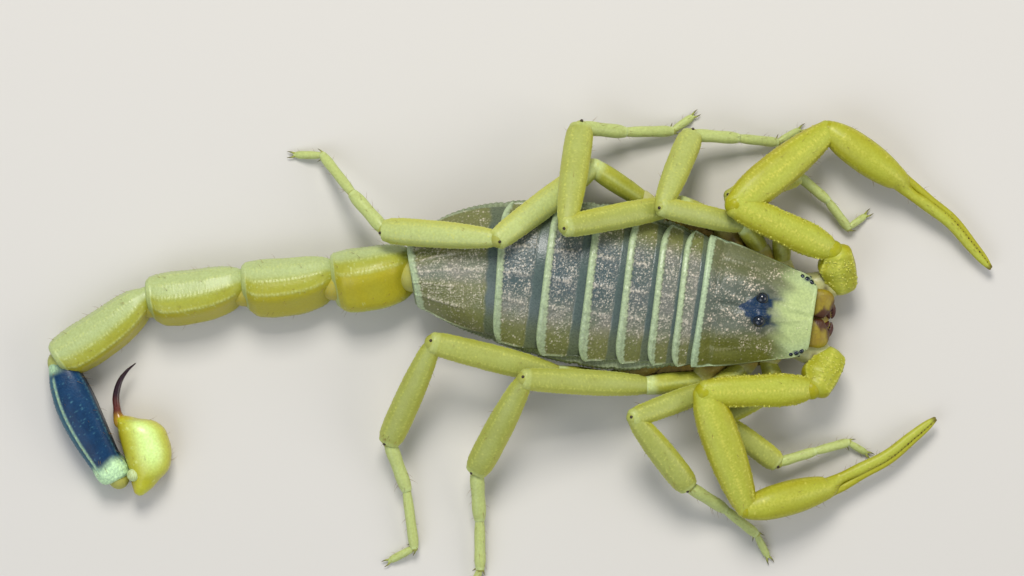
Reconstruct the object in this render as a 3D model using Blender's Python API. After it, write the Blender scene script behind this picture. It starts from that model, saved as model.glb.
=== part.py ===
"""A resting desert scorpion (an adult female of the deathstalker kind), built plate by plate at real size.

Run it with blender --background --python part.py, or from Blender's text editor.
Sizes are in millimetres here and in metres in the objects. +Z is up, the head looks along -Y and the
animal's left is +X. The working origin is the middle of the carapace's rear edge, on the floor; the finished
model is moved so that the middle of its own footprint is the origin.
"""
import math
from typing import NamedTuple

import bmesh
import bpy
import numpy as np
from mathutils import Matrix

MM = 0.001
UPWARD = np.array((0.0, 0.0, 1.0))
SIDEWAYS = np.array((1.0, 0.0, 0.0))

# Driving dimensions, in millimetres
CARAPACE_LENGTH = 10.2
TERGITE_REARS = (2.0, 4.2, 7.1, 10.5, 14.4, 18.7, 26.4)
PLATE_THICKNESS = 0.6
PLATE_STEP = 0.22          # each tergite's front edge lies this much under the rim before it
GAP = 0.12                 # clearance between pieces that touch
END_CAP = ((0.55, 0.84), (0.9, 0.4))    # rounded end: (reach, size) as shares of the last ring
BEND_START = 17.0          # behind this place the trunk curves to the animal's right, into the tail
BEND_RATE = 0.0155

# Curves along the trunk: (place behind the carapace's rear edge, value)
PLATE_HALF_WIDTH = ((-10.2, 3.0), (-9.5, 3.6), (-7.9, 4.15), (-5.5, 4.85), (-2.6, 5.6), (0.0, 6.05),
                    (4.2, 6.45), (10.5, 6.95), (14.4, 6.9), (18.7, 6.2), (23.4, 4.8), (26.6, 2.9))
PLEURA_HALF_WIDTH = ((0.0, 6.0), (3.0, 6.6), (6.0, 7.3), (10.5, 7.45), (14.4, 7.1), (18.7, 6.3),
                     (23.4, 4.8), (26.6, 2.8))
STERNITE_HALF_WIDTH = ((0.0, 4.4), (6.0, 5.1), (10.5, 5.4), (14.4, 5.3), (18.7, 4.7), (23.4, 3.7),
                       (26.6, 2.1))
RIDGE_HEIGHT = ((-10.2, 5.9), (-8.0, 6.5), (-5.3, 7.0), (0.0, 7.25), (7.0, 8.0), (12.0, 8.3),
                (18.7, 7.9), (23.4, 6.9), (26.6, 6.05))
MARGIN_HEIGHT = ((-10.2, 5.2), (-5.3, 4.9), (0.0, 4.95), (7.0, 5.35), (12.0, 5.45), (18.7, 5.0),
                 (23.4, 4.35), (26.6, 3.9))
BELLY_HEIGHT = ((0.0, 3.25), (6.4, 3.25), (8.2, 1.35), (12.0, 0.9), (18.7, 0.85), (26.6, 1.15))
CROWN_POWER = 2.2

# Median eyes on their tubercle, and the row of small eyes at each front corner
EYE_PLACE = (0.95, -5.3)
EYE_RADIUS = 0.42
EYE_LIFT = 0.5                # the eye's centre above the carapace's own arch
TUBERCLE_HEIGHT = 0.65
TUBERCLE_HALF_WIDTH = 0.45    # half width of its flat top
TUBERCLE_SPREADS = (0.35, 0.9)    # squared fall-off lengths to the sides and along the body
SIDE_EYE_PLACES = ((3.12, -9.62), (3.36, -9.2), (3.52, -8.74))
SIDE_EYE_RADIUS = 0.29
SIDE_EYE_HEIGHT = 5.15
SIDE_EYE_WAIST = 0.72         # of the radius, between two eyes of the row

# The block under the carapace, and the bases of the limbs fanned out below it
CORE_PLACES = (-9.9, -9.2, -7.6, -5.3, -2.6, 0.1)
CORE_SHARES = (0.9, 0.7)      # of the carapace's half width, at the block's sides and at its underside
CORE_BELLY = 2.0
COXA_PROFILE = ((0.0, 0.75), (0.5, 1.0), (1.0, 0.82))
COXA_HALF_WIDTH = 1.12
COXA_HALF_DEPTH = 0.98
PALP_COXA_PROFILE = ((0.0, 0.8), (0.5, 1.0), (1.0, 1.0))
PALP_COXA_RADIUS = 1.08
STERNUM_PLACES = (-3.6, 6.4)
STERNUM_HALF_WIDTHS = (0.6, 3.8)
STERNUM_HEIGHTS = (1.35, 2.9)

# The combs under the body
COMB_TEETH = 12
COMB_LENGTH = 6.4
COMB_WIDTH = 0.85
COMB_TOOTH = 0.5
COMB_ROOT = (1.0, 2.0)
COMB_HEADING = 143
COMB_HEIGHTS = (0.6, 1.15)
COMB_TAPER = 0.55

# Chelicera, base to tip: (place, distance from the middle, height, half width, half depth)
CHELICERA_SECTIONS = ((-10.02, 1.28, 4.1, 1.05, 0.85), (-10.6, 1.32, 4.2, 1.16, 0.95),
                      (-11.3, 1.27, 4.12, 1.1, 0.95), (-11.8, 1.05, 3.95, 0.85, 0.78),
                      (-12.15, 0.75, 3.78, 0.45, 0.5), (-12.3, 0.5, 3.7, 0.2, 0.25))

# Limbs: joint places at the body, then for each segment its length; each leg's pose is a heading for each
# segment (degrees, 0 forward, 90 outward, 180 to the rear) and the height of its far end
LEG_HIPS = {1: (4.6, -6.9, 2.6), 2: (5.6, -4.7, 2.6), 3: (7.2, -1.0, 2.6), 4: (8.5, 6.8, 2.2)}
LEG_ROOTS = {1: (1.0, -7.6, 2.0), 2: (1.0, -6.1, 1.95), 3: (1.0, -4.6, 1.95), 4: (1.3, -3.2, 1.95)}
LEG_LENGTHS = {1: (2.6, 6.0, 6.7, 3.7, 3.3, 2.1), 2: (3.0, 8.8, 8.7, 4.5, 3.9, 2.5),
               3: (5.0, 12.0, 10.9, 4.8, 4.6, 2.5), 4: (5.6, 12.0, 11.0, 4.8, 5.5, 2.7)}
LEG_HALF_WIDTHS = {1: (0.85, 0.82, 0.98, 0.45, 0.42, 0.3), 2: (0.9, 0.95, 1.12, 0.55, 0.45, 0.32),
                   3: (0.95, 1.08, 1.2, 0.62, 0.5, 0.34), 4: (0.95, 1.15, 1.15, 0.6, 0.46, 0.34)}
LEG_HEADINGS = {("left", 1): (100, 152, 25, -31, -44, 44), ("left", 2): (135, 177, 75, 5, 3, 38),
                ("left", 3): (164, -160, 90, 4, 10, 44), ("left", 4): (156, -134, -176, 140, 137, -173),
                ("right", 1): (60, 143, 29, -25, -23, 22), ("right", 2): (137, 152, 43, 24, 30, 54),
                ("right", 3): (166, 175, 109, 78, 81, 100), ("right", 4): (179, -174, 106, 62, 74, 143)}
LEG_HEIGHTS = {("left", 1): (2.8, 3.6, 2.4, 1.5, 0.75, 0.17), ("left", 2): (4.1, 8.1, 3.4, 2.0, 0.85, 0.18),
               ("left", 3): (4.9, 10.5, 4.7, 2.1, 0.95, 0.19), ("left", 4): (4.2, 9.3, 5.7, 3.8, 0.95, 0.19),
               ("right", 1): (2.7, 3.1, 2.1, 1.5, 0.75, 0.17), ("right", 2): (3.6, 6.8, 3.7, 1.8, 0.85, 0.18),
               ("right", 3): (3.9, 8.1, 2.9, 1.3, 0.9, 0.19), ("right", 4): (4.4, 7.1, 2.5, 1.5, 0.9, 0.19)}
LEG_ROOT_PROFILE = ((0.0, 0.95), (0.55, 1.0))
LEG_FEMUR_PROFILE = ((0.06, 0.85), (0.3, 1.0), (0.7, 1.0), (0.93, 0.88), (1.0, 0.8))
LEG_PATELLA_PROFILE = ((0.0, 0.58), (0.12, 0.76), (0.35, 0.97), (0.65, 1.05), (0.86, 1.0), (1.0, 0.75))
LEG_FOOT_PROFILES = (((0.0, 1.1), (0.3, 1.0)), ((0.0, 1.0), (0.5, 1.0)),
                     ((0.0, 1.0), (0.6, 1.05), (1.0, 0.85)))
LEG_DEPTH = 0.85                  # of the half width, for the two flattened segments

PALP_BASE = (3.4, -12.1, 2.9)
PALP_ROOT = (2.3, -8.0, 2.3)      # inner end of the limb's first, fixed segment
PALP_LENGTHS = (3.6, 10.1, 11.7, 8.6, 5.7, 5.7)     # trochanter, femur, patella, hand, two finger halves
PALP_HEADINGS = {"left": (108, 164, 47, -27, -29, -41), "right": (108, 170, 61, -23, -36, -47)}
PALP_HEIGHTS = {"left": (4.8, 6.8, 3.4, 2.5, 1.6, 1.2), "right": (4.5, 6.7, 4.4, 2.2, 1.9, 1.5)}

# Trochanter, base to tip: (share of its length, its middle's distance before the joint line, half width)
TROCHANTER_STATIONS = ((-0.15, 0.35, 1.3), (0.0, 0.38, 1.5), (0.3, 0.33, 1.62), (0.6, 0.2, 1.72),
                       (0.8, 0.35, 1.45), (1.0, 0.45, 1.2), (1.12, 0.6, 0.8))
TROCHANTER_DEPTH = 0.85
PALP_FEMUR_PROFILE = ((0.0, 0.62), (0.08, 0.82), (0.2, 1.0), (0.55, 1.0), (0.85, 0.95), (1.0, 0.8))
PALP_FEMUR_SIZE = (1.4, 1.15)     # half width and half depth
PALP_PATELLA_PROFILE = ((0.0, 0.62), (0.1, 0.82), (0.22, 0.96), (0.42, 1.0), (0.65, 0.93), (0.85, 0.76),
                        (1.0, 0.56))
PALP_PATELLA_SIZE = (1.75, 1.35)
PALP_POWER = 2.4
HAND_PROFILE = ((0.0, 0.6), (0.15, 0.86), (0.4, 1.0), (0.65, 0.95), (0.82, 0.8), (0.93, 0.68))
HAND_SIZE = (1.58, 1.45)

# The closed fingers: whole width of the pair at places along the two finger halves (0 to 2), and as shares
# of it each finger's distance from the middle line and half width; the movable one is outside and lower
FINGER_STATIONS = ((0.06, 1.65), (0.5, 1.5), (1.0, 1.36), (1.5, 1.15), (1.85, 0.8), (2.0, 0.4))
FIXED_FINGER = (-0.19, 0.31)
MOVABLE_FINGER = (0.31, 0.19)
MOVABLE_DROP = 0.3
FINGER_DEPTH = 1.1


class TailSegment(NamedTuple):
    """One segment: its roll is to the animal's right; a heading of 0 looks forward and 90 to the left."""
    length: float
    half_width: float
    half_depth: float
    roll: float
    heading: float
    end_height: float


TAIL_SEGMENTS = (TailSegment(7.1, 2.75, 2.7, 33, -164, 3.0), TailSegment(8.3, 2.55, 2.5, 58, -167, 2.62),
                 TailSegment(8.8, 2.4, 2.4, 70, -164, 2.4), TailSegment(9.9, 2.2, 2.15, 80, -138, 2.1),
                 TailSegment(11.6, 1.95, 1.95, 90, -56, 1.6))
TAIL_POWER = 2.8
# Along a segment: its width, and its reach to the arched dorsal side and to the straight ventral side
TAIL_PLACES = (0.0, 0.06, 0.16, 0.34, 0.55, 0.76, 0.89, 0.95, 1.0)
TAIL_PROFILE = ((0.0, 0.74), (0.08, 0.87), (0.28, 0.98), (0.6, 1.0), (0.88, 0.95), (1.0, 0.78))
TAIL_DORSAL = ((0.0, 0.3), (0.06, 0.5), (0.16, 0.78), (0.34, 0.97), (0.55, 1.0), (0.76, 0.97), (0.88, 0.8),
               (0.95, 0.48), (1.0, 0.25))
TAIL_VENTRAL = ((0.0, 0.74), (0.06, 0.86), (0.16, 0.95), (0.5, 1.0), (0.9, 1.0), (0.96, 0.96), (1.0, 0.86))
TAIL_LAST_PROFILE = ((0.0, 0.68), (0.1, 0.84), (0.3, 1.0), (0.5, 0.97), (0.7, 0.84), (0.9, 0.75),
                     (1.0, 0.74))
TAIL_LAST_BOW = 0.35

# Telson: (distance along it, offset to its bulging underside, radius), lying beside the last segment
TELSON_START = (-25.3, 48.6, 2.05)
TELSON_HEADING = 105
VESICLE_DEPTH = 0.95
VESICLE_STATIONS = ((0.15, 0.48, 0.5), (0.5, 0.7, 0.85), (1.15, 1.0, 1.27), (1.8, 1.4, 1.68),
                    (3.3, 1.56, 2.11), (4.8, 1.38, 2.2), (6.0, 1.08, 2.06), (6.65, 0.65, 1.66),
                    (7.0, -0.05, 0.97), (7.3, -0.6, 0.5))
STING_STATIONS = ((7.42, -0.82, 0.4), (8.1, -0.84, 0.34), (9.0, -0.84, 0.33), (9.85, -0.62, 0.3),
                  (10.7, -0.2, 0.24), (11.44, 0.48, 0.17), (12.05, 1.35, 0.1))


def smooth_curve(keys, place):
    """Value at each place of a smooth curve through the (place, value) keys."""
    at = np.array([key[0] for key in keys], dtype=float)
    value = np.array([key[1] for key in keys], dtype=float)
    slope = np.gradient(value, at)
    place = np.clip(np.asarray(place, dtype=float), at[0], at[-1])
    i = np.clip(np.searchsorted(at, place, side="right") - 1, 0, len(at) - 2)
    span = at[i + 1] - at[i]
    t = (place - at[i]) / span
    return (value[i] * (1 + 2 * t) * (1 - t) ** 2 + slope[i] * span * t * (1 - t) ** 2
            + value[i + 1] * t ** 2 * (3 - 2 * t) + slope[i + 1] * span * t ** 2 * (t - 1))


def trunk_point(place, lateral, height):
    """Point at a place along the curved trunk, a distance to the animal's left of its middle line."""
    past = np.maximum(np.asarray(place, dtype=float) - BEND_START, 0.0)
    turn = np.arctan(2 * BEND_RATE * past)
    x = -BEND_RATE * past ** 2 + lateral * np.cos(turn)
    y = place + lateral * np.sin(turn)
    return np.stack(np.broadcast_arrays(x, y, height), axis=-1)


def heading_vector(heading, side=1):
    """Level unit vector: 0 degrees forward, 90 outward on a side (1 left, -1 right), 180 to the rear."""
    angle = math.radians(heading)
    return np.array((side * math.sin(angle), -math.cos(angle), 0.0))


def chain_points(start, lengths, headings, end_heights, side):
    """Joint centres of a limb, each segment keeping its length while it rises or falls to its end height."""
    points = [np.array((side * start[0], start[1], start[2]), dtype=float)]
    for length, heading, height in zip(lengths, headings, end_heights):
        rise = height - points[-1][2]
        run = math.sqrt(length ** 2 - rise ** 2)
        points.append(points[-1] + run * heading_vector(heading, side) + np.array((0.0, 0.0, rise)))
    return points


def unit(vector):
    return vector / np.linalg.norm(vector)


def cross_axes(direction, roll=0.0):
    """Sideways and upward unit vectors across a direction, rolled about it."""
    up = unit(UPWARD - direction[2] * direction)
    level = np.cross(up, direction)
    angle = math.radians(roll)
    return (level * math.cos(angle) - up * math.sin(angle), up * math.cos(angle) + level * math.sin(angle))


def ring(centre, sideways, up, half_width, half_depth, count, power=2.0):
    """Rounded section across a limb; a power above 2 makes it squarer."""
    angle = 2 * math.pi * np.arange(count) / count
    across = np.sign(np.cos(angle)) * np.abs(np.cos(angle)) ** (2 / power) * half_width
    over = np.sign(np.sin(angle)) * np.abs(np.sin(angle)) ** (2 / power) * half_depth
    return centre + np.outer(across, sideways) + np.outer(over, up)


def loft(rings):
    """Vertices and faces of a closed body through rings that all have the same number of points."""
    count = len(rings[0])
    faces = [tuple(reversed(range(count))), tuple((len(rings) - 1) * count + k for k in range(count))]
    for r in range(len(rings) - 1):
        for k in range(count):
            a, b = r * count + k, r * count + (k + 1) % count
            faces.append((a, b, b + count, a + count))
    return np.concatenate(rings), faces


def slab(top, bottom):
    """Vertices and faces of a plate between two grids of points with the same shape."""
    rows, columns = top.shape[:2]
    under = rows * columns
    faces = []
    for r in range(rows - 1):
        for c in range(columns - 1):
            a = r * columns + c
            faces.append((a, a + 1, a + columns + 1, a + columns))
            faces.append((under + a, under + a + columns, under + a + columns + 1, under + a + 1))
    edge = ([(0, c) for c in range(columns - 1)] + [(r, columns - 1) for r in range(rows - 1)]
            + [(rows - 1, c) for c in range(columns - 1, 0, -1)] + [(r, 0) for r in range(rows - 1, 0, -1)])
    loop = [r * columns + c for r, c in edge]
    for a, b in zip(loop, loop[1:] + loop[:1]):
        faces.append((a, under + a, under + b, b))
    return np.concatenate((top.reshape(-1, 3), bottom.reshape(-1, 3))), faces


def material(name, colour, roughness):
    """A Principled material, or the one of that name that is there already."""
    found = bpy.data.materials.get(name)
    if found:
        return found
    made = bpy.data.materials.new(name)
    made.use_nodes = True
    shader = made.node_tree.nodes["Principled BSDF"]
    shader.inputs["Base Color"].default_value = (*colour, 1.0)
    shader.inputs["Roughness"].default_value = roughness
    shader.inputs["Metallic"].default_value = 0.0
    made.diffuse_color = (*colour, 1.0)
    return made


def shell(name):
    """The colours of the animal's plates."""
    colours = {"trunk_plate": ((0.20, 0.22, 0.17), 0.5), "belly": ((0.45, 0.44, 0.26), 0.5),
               "limb": ((0.42, 0.40, 0.13), 0.45), "tail_plate": ((0.40, 0.42, 0.18), 0.45),
               "dark_tail": ((0.07, 0.09, 0.11), 0.45), "claw": ((0.36, 0.22, 0.07), 0.4),
               "sting": ((0.10, 0.03, 0.015), 0.3), "eye": ((0.01, 0.01, 0.012), 0.08)}
    return material(name, *colours[name])


def build(name, shape, finish, cuts=()):
    """Makes one object from a shape in millimetres, less what lies past each cut (point, normal)."""
    vertices, faces = shape
    mesh = bpy.data.meshes.new(name)
    mesh.from_pydata([tuple(float(c) * MM for c in v) for v in vertices], [], faces)
    body = bmesh.new()
    body.from_mesh(mesh)
    for point, normal in cuts:
        everything = body.verts[:] + body.edges[:] + body.faces[:]
        bmesh.ops.bisect_plane(body, geom=everything, dist=1e-6, plane_co=tuple(point * MM),
                               plane_no=tuple(normal), clear_outer=True)
        bmesh.ops.holes_fill(body, edges=[e for e in body.edges if e.is_boundary])
    bmesh.ops.remove_doubles(body, verts=body.verts[:], dist=0.02 * MM)
    bmesh.ops.recalc_face_normals(body, faces=body.faces[:])
    body.to_mesh(mesh)
    body.free()
    mesh.shade_smooth()
    mesh.set_sharp_from_angle(angle=math.radians(40))
    mesh.materials.append(shell(finish))
    made = bpy.data.objects.new(name, mesh)
    bpy.context.scene.collection.objects.link(made)
    return made


def combine(base, tool, operation):
    """Joins a helper to a body, or cuts it out, with a Boolean modifier."""
    tool.hide_render = True
    tool.display_type = "WIRE"
    step = base.modifiers.new(tool.name, "BOOLEAN")
    step.operation = operation
    step.solver = "EXACT"
    step.object = tool


def floor_cut():
    """Cut that leaves a resting piece with a small flat at floor level."""
    return np.zeros(3), -UPWARD


def mitre(joint, before, after, keep_before):
    """Cut through a joint, half way between its two segments' directions, with half the gap on this side."""
    normal = unit(before + after)
    if keep_before:
        return joint - normal * GAP / 2, normal
    return joint + normal * GAP / 2, -normal


def end_caps(places, length, half_width, caps):
    """Adds the (distance, scales...) stations of rounded ends that reach past a segment's joint centres."""
    first, last = places[0], places[-1]
    before, after = [], []
    for reach, shrink in END_CAP:
        before.insert(0, (-reach * first[1] * half_width, *(shrink * scale for scale in first[1:])))
        after.append((length + reach * last[1] * half_width, *(shrink * scale for scale in last[1:])))
    return (before if caps[0] else []) + places + (after if caps[1] else [])


def limb_rings(start, end, profile, size, count, power=2.0, roll=0.0, caps=(True, True), bow=0.0):
    """Rings of one segment with a half width and half depth, with rounded ends past its joint centres.

    The middle of a bowed segment stands out from the straight line on its lower side.
    """
    direction = unit(end - start)
    sideways, up = cross_axes(direction, roll)
    length = np.linalg.norm(end - start)
    places = end_caps([(t * length, scale) for t, scale in profile], length, size[0], caps)
    rings = []
    for along, scale in places:
        sag = bow * math.sin(math.pi * np.clip(along / length, 0, 1))
        centre = start + direction * along - up * sag
        rings.append(ring(centre, sideways, up, size[0] * scale, size[1] * scale, count, power))
    return rings


def path_rings(centres, radii, depth, count):
    """Rings across the curved line through the centres."""
    rings = []
    for k, (centre, radius) in enumerate(zip(centres, radii)):
        sideways, up = cross_axes(unit(centres[min(k + 1, len(centres) - 1)] - centres[max(k - 1, 0)]))
        rings.append(ring(centre, sideways, up, radius, radius * depth, count))
    return rings


# ---------------------------------------------------------------- trunk

def dorsal_height(place, share, drop=0.0):
    """Height of the back at a share (-1 to 1) of its half width."""
    ridge = smooth_curve(RIDGE_HEIGHT, place)
    margin = smooth_curve(MARGIN_HEIGHT, place)
    return ridge - (ridge - margin) * np.abs(share) ** CROWN_POWER - drop


def plate(place, share, drop):
    """Top and bottom grids of a back plate over grids of places and shares."""
    lateral = share * smooth_curve(PLATE_HALF_WIDTH, place)
    height = dorsal_height(place, share, drop)
    return trunk_point(place, lateral, height), trunk_point(place, lateral, height - PLATE_THICKNESS)


def build_carapace():
    share, along = np.meshgrid(np.linspace(-1, 1, 15), np.linspace(-1, 0, 13))
    place = along * CARAPACE_LENGTH
    top, bottom = plate(place, share, 0.0)
    across = np.maximum(np.abs(top[..., 0]) - TUBERCLE_HALF_WIDTH, 0.0)
    tubercle = np.exp(-across ** 2 / TUBERCLE_SPREADS[0] - (place - EYE_PLACE[1]) ** 2 / TUBERCLE_SPREADS[1])
    top[..., 2] += TUBERCLE_HEIGHT * tubercle
    carapace = build("carapace", slab(top, bottom), "trunk_plate")
    for side, word in ((1, "left"), (-1, "right")):
        eye_height = float(dorsal_height(EYE_PLACE[1], 0.0)) + EYE_LIFT
        centre = np.array((side * EYE_PLACE[0], EYE_PLACE[1], eye_height))
        build("eye_median_" + word, ball(centre, EYE_RADIUS), "eye")
        socket = build("socket_median_" + word, ball(centre, EYE_RADIUS + GAP / 2), "eye")
        combine(carapace, socket, "DIFFERENCE")
        build("eyes_lateral_" + word, side_eyes(side, SIDE_EYE_RADIUS), "eye")
        socket = build("socket_lateral_" + word, side_eyes(side, SIDE_EYE_RADIUS + GAP / 2), "eye")
        combine(carapace, socket, "DIFFERENCE")
    return carapace


def ball(centre, radius):
    """A faceted ball."""
    body = bmesh.new()
    bmesh.ops.create_uvsphere(body, u_segments=10, v_segments=7, radius=radius)
    vertices = np.array([v.co[:] for v in body.verts]) + centre
    faces = [tuple(v.index for v in f.verts) for f in body.faces]
    body.free()
    return vertices, faces


def side_eyes(side, radius):
    """Three small eyes in a row, as one beaded body along the front corner of the carapace."""
    grow = radius - SIDE_EYE_RADIUS
    centres = [np.array((side * x, y, SIDE_EYE_HEIGHT)) for x, y in SIDE_EYE_PLACES]
    direction = unit(centres[-1] - centres[0])
    sideways, up = cross_axes(direction)
    waist = SIDE_EYE_WAIST * SIDE_EYE_RADIUS + grow
    stations = [(centres[0] - direction * 0.9 * radius, 0.4 * radius)]
    for centre, after in zip(centres, centres[1:]):
        stations += [(centre, radius), ((centre + after) / 2, waist)]
    stations += [(centres[-1], radius), (centres[-1] + direction * 0.9 * radius, 0.4 * radius)]
    return loft([ring(centre, sideways, up, size, size, 8) for centre, size in stations])


def build_tergites():
    front = 0.0
    for number, rear in enumerate(TERGITE_REARS, start=1):
        rows = 6 if number == 7 else 4
        share, along = np.meshgrid(np.linspace(-1, 1, 11), np.linspace(0, 1, rows))
        reach = rear - front - GAP
        place = front + GAP + reach * along
        corner = 0.0 if number == 7 else 0.5 * np.abs(share) ** 8 * along ** 3
        narrow = 1 - 0.05 * (1 - along) ** 2
        top, bottom = plate(place - corner, share * narrow, PLATE_STEP * (1 - along))
        cuts = [(tail_joint(-GAP / 2), tail_start_direction())] if number == 7 else []
        build(f"tergite_{number}", slab(top, bottom), "trunk_plate", cuts)
        front = rear


def trunk_ring(place, top_drop, sides, belly_sides, belly):
    """Section of the trunk under its plates: the arched top, the bulging sides and the flatter belly."""
    share = np.linspace(1, -1, 9)
    half_width = smooth_curve(PLATE_HALF_WIDTH, place) * 0.97
    top = np.stack((share * half_width, dorsal_height(place, share * 0.97, top_drop)), axis=-1)
    edge = top[0, 1]
    flank = [(-sides, belly + 0.62 * (edge - belly)), (-sides * 0.965, belly + 0.36 * (edge - belly)),
             (-belly_sides, belly + 0.14 * (edge - belly))]
    under = [(-0.7 * belly_sides, belly), (0.0, belly), (0.7 * belly_sides, belly)]
    mirrored = [(-x, z) for x, z in reversed(flank)]
    section = np.concatenate((top, flank, under, mirrored))
    return trunk_point(place, section[:, 0], section[:, 1])


def build_underside():
    """The soft flanks and the sternites, in one body under the tergites."""
    drop = PLATE_STEP + PLATE_THICKNESS + 2 * GAP
    places = (0.25, 3.2, 6.4, 8.2, 11.0, 14.4, 17.5, 20.5, 23.4, 25.5, 27.5)
    rings = [trunk_ring(p, drop, smooth_curve(PLEURA_HALF_WIDTH, p), smooth_curve(STERNITE_HALF_WIDTH, p),
                        smooth_curve(BELLY_HEIGHT, p)) for p in places]
    build("mesosoma_underside", loft(rings), "belly", [(tail_joint(-GAP / 2), tail_start_direction())])


def build_coxosternum():
    """The block under the carapace, with the bases of the limbs fanned out below it, and the sternum."""
    rings = []
    for place in CORE_PLACES:
        half_width = smooth_curve(PLATE_HALF_WIDTH, place)
        rings.append(trunk_ring(place, PLATE_THICKNESS + GAP, half_width * CORE_SHARES[0],
                                half_width * CORE_SHARES[1], CORE_BELLY))
    core = build("coxosternum", loft(rings), "belly")
    for side, word in ((1, "left"), (-1, "right")):
        for leg in LEG_HIPS:
            joint, knee = leg_points(word, leg)[:2]
            root = leg_root(word, leg)
            rings = limb_rings(root, joint, COXA_PROFILE, (COXA_HALF_WIDTH, COXA_HALF_DEPTH), 6)
            cut = mitre(joint, unit(joint - root), unit(knee - joint), True)
            combine(core, build(f"coxa_{word}_{leg}", loft(rings), "belly", [cut]), "UNION")
        base = np.array((side * PALP_BASE[0], *PALP_BASE[1:]))
        root = np.array((side * PALP_ROOT[0], *PALP_ROOT[1:]))
        rings = limb_rings(root, base, PALP_COXA_PROFILE, (PALP_COXA_RADIUS, PALP_COXA_RADIUS), 8)
        cut = mitre(base, unit(base - root), unit(palp_points(word)[1] - base), True)
        combine(core, build(f"coxa_{word}_palp", loft(rings), "belly", [cut]), "UNION")
    share, along = np.meshgrid(np.linspace(-1, 1, 3), np.linspace(0, 1, 3))
    y = STERNUM_PLACES[0] + (STERNUM_PLACES[1] - STERNUM_PLACES[0]) * along
    x = share * (STERNUM_HALF_WIDTHS[0] + (STERNUM_HALF_WIDTHS[1] - STERNUM_HALF_WIDTHS[0]) * along)
    bottom, top = (np.stack((x, y, np.full_like(x, z)), axis=-1) for z in STERNUM_HEIGHTS)
    combine(core, build("sternum", slab(top, bottom), "belly"), "UNION")


def build_pectines():
    """The two combs under the body: a curved blade, with its teeth along the rear edge."""
    for side, word in ((1, "left"), (-1, "right")):
        root = np.array((side * COMB_ROOT[0], COMB_ROOT[1], COMB_HEIGHTS[0]))
        along = heading_vector(COMB_HEADING, side)
        rearward = heading_vector(COMB_HEADING + 90, side)
        front_edge, rear_edge = [], []
        for k in range(2 * COMB_TEETH + 1):
            share = k / (2 * COMB_TEETH)
            taper = 1 - COMB_TAPER * share ** 2
            tooth = COMB_TOOTH if k % 2 else 0.0
            middle = root + along * COMB_LENGTH * share
            front_edge.append(middle - rearward * taper * COMB_WIDTH / 2)
            rear_edge.append(middle + rearward * taper * (COMB_WIDTH / 2 + tooth))
        lower = np.stack((np.array(front_edge), np.array(rear_edge)))
        build("pecten_" + word, slab(lower + UPWARD * (COMB_HEIGHTS[1] - COMB_HEIGHTS[0]), lower), "belly")


def build_chelicerae():
    for side, word in ((1, "left"), (-1, "right")):
        rings = [ring(np.array((side * x, y, z)), SIDEWAYS, UPWARD, half_width, half_depth, 10)
                 for y, x, z, half_width, half_depth in CHELICERA_SECTIONS]
        build("chelicera_" + word, loft(rings), "claw")


# ---------------------------------------------------------------- tail

def tail_start_direction():
    """Direction of the trunk's middle line where the tail joins it."""
    return heading_vector(TAIL_SEGMENTS[0].heading)


def tail_joint(shift=0.0):
    """Centre of the joint between the trunk and the tail, moved along the tail by a shift."""
    return trunk_point(TERGITE_REARS[-1] + 0.1, 0.0, 3.4) + tail_start_direction() * shift


def tail_points():
    return chain_points(tail_joint(), [s.length for s in TAIL_SEGMENTS], [s.heading for s in TAIL_SEGMENTS],
                        [s.end_height for s in TAIL_SEGMENTS], 1)


def tail_rings(start, end, segment, caps):
    """Rings of a segment with an arched dorsal side, cut back at its ends, and a straight ventral side."""
    direction = unit(end - start)
    sideways, up = cross_axes(direction, segment.roll)
    scales = [smooth_curve(keys, TAIL_PLACES) for keys in (TAIL_PROFILE, TAIL_DORSAL, TAIL_VENTRAL)]
    stations = [(t * segment.length, *scale) for t, scale in zip(TAIL_PLACES, np.transpose(scales))]
    rings = []
    for along, width, dorsal, ventral in end_caps(stations, segment.length, segment.half_width, caps):
        centre = start + direction * along + up * segment.half_depth * (dorsal - ventral) / 2
        half_depth = segment.half_depth * (dorsal + ventral) / 2
        rings.append(ring(centre, sideways, up, segment.half_width * width, half_depth, 14, TAIL_POWER))
    return rings


def build_tail():
    points = tail_points()
    directions = [unit(b - a) for a, b in zip(points, points[1:])]
    last = len(TAIL_SEGMENTS) - 1
    for i, segment in enumerate(TAIL_SEGMENTS):
        if i == last:
            size = (segment.half_width, segment.half_depth)
            rings = limb_rings(points[i], points[i + 1], TAIL_LAST_PROFILE, size, 14, TAIL_POWER,
                               segment.roll, (True, False), TAIL_LAST_BOW)
        else:
            rings = tail_rings(points[i], points[i + 1], segment, (i > 0, True))
        cuts = [floor_cut()]
        if i == 0:
            cuts.append((tail_joint(GAP / 2), -tail_start_direction()))
        else:
            cuts.append(mitre(points[i], directions[i - 1], directions[i], False))
        if i < last:
            cuts.append(mitre(points[i + 1], directions[i], directions[i + 1], True))
        build(f"metasoma_{i + 1}", loft(rings), "dark_tail" if i == last else "tail_plate", cuts)


def telson_point(along, belly):
    """Point beside the last segment, a distance along the telson and another to its bulging underside."""
    return (np.array(TELSON_START) + heading_vector(TELSON_HEADING) * along
            + heading_vector(TELSON_HEADING - 90) * belly)


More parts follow.
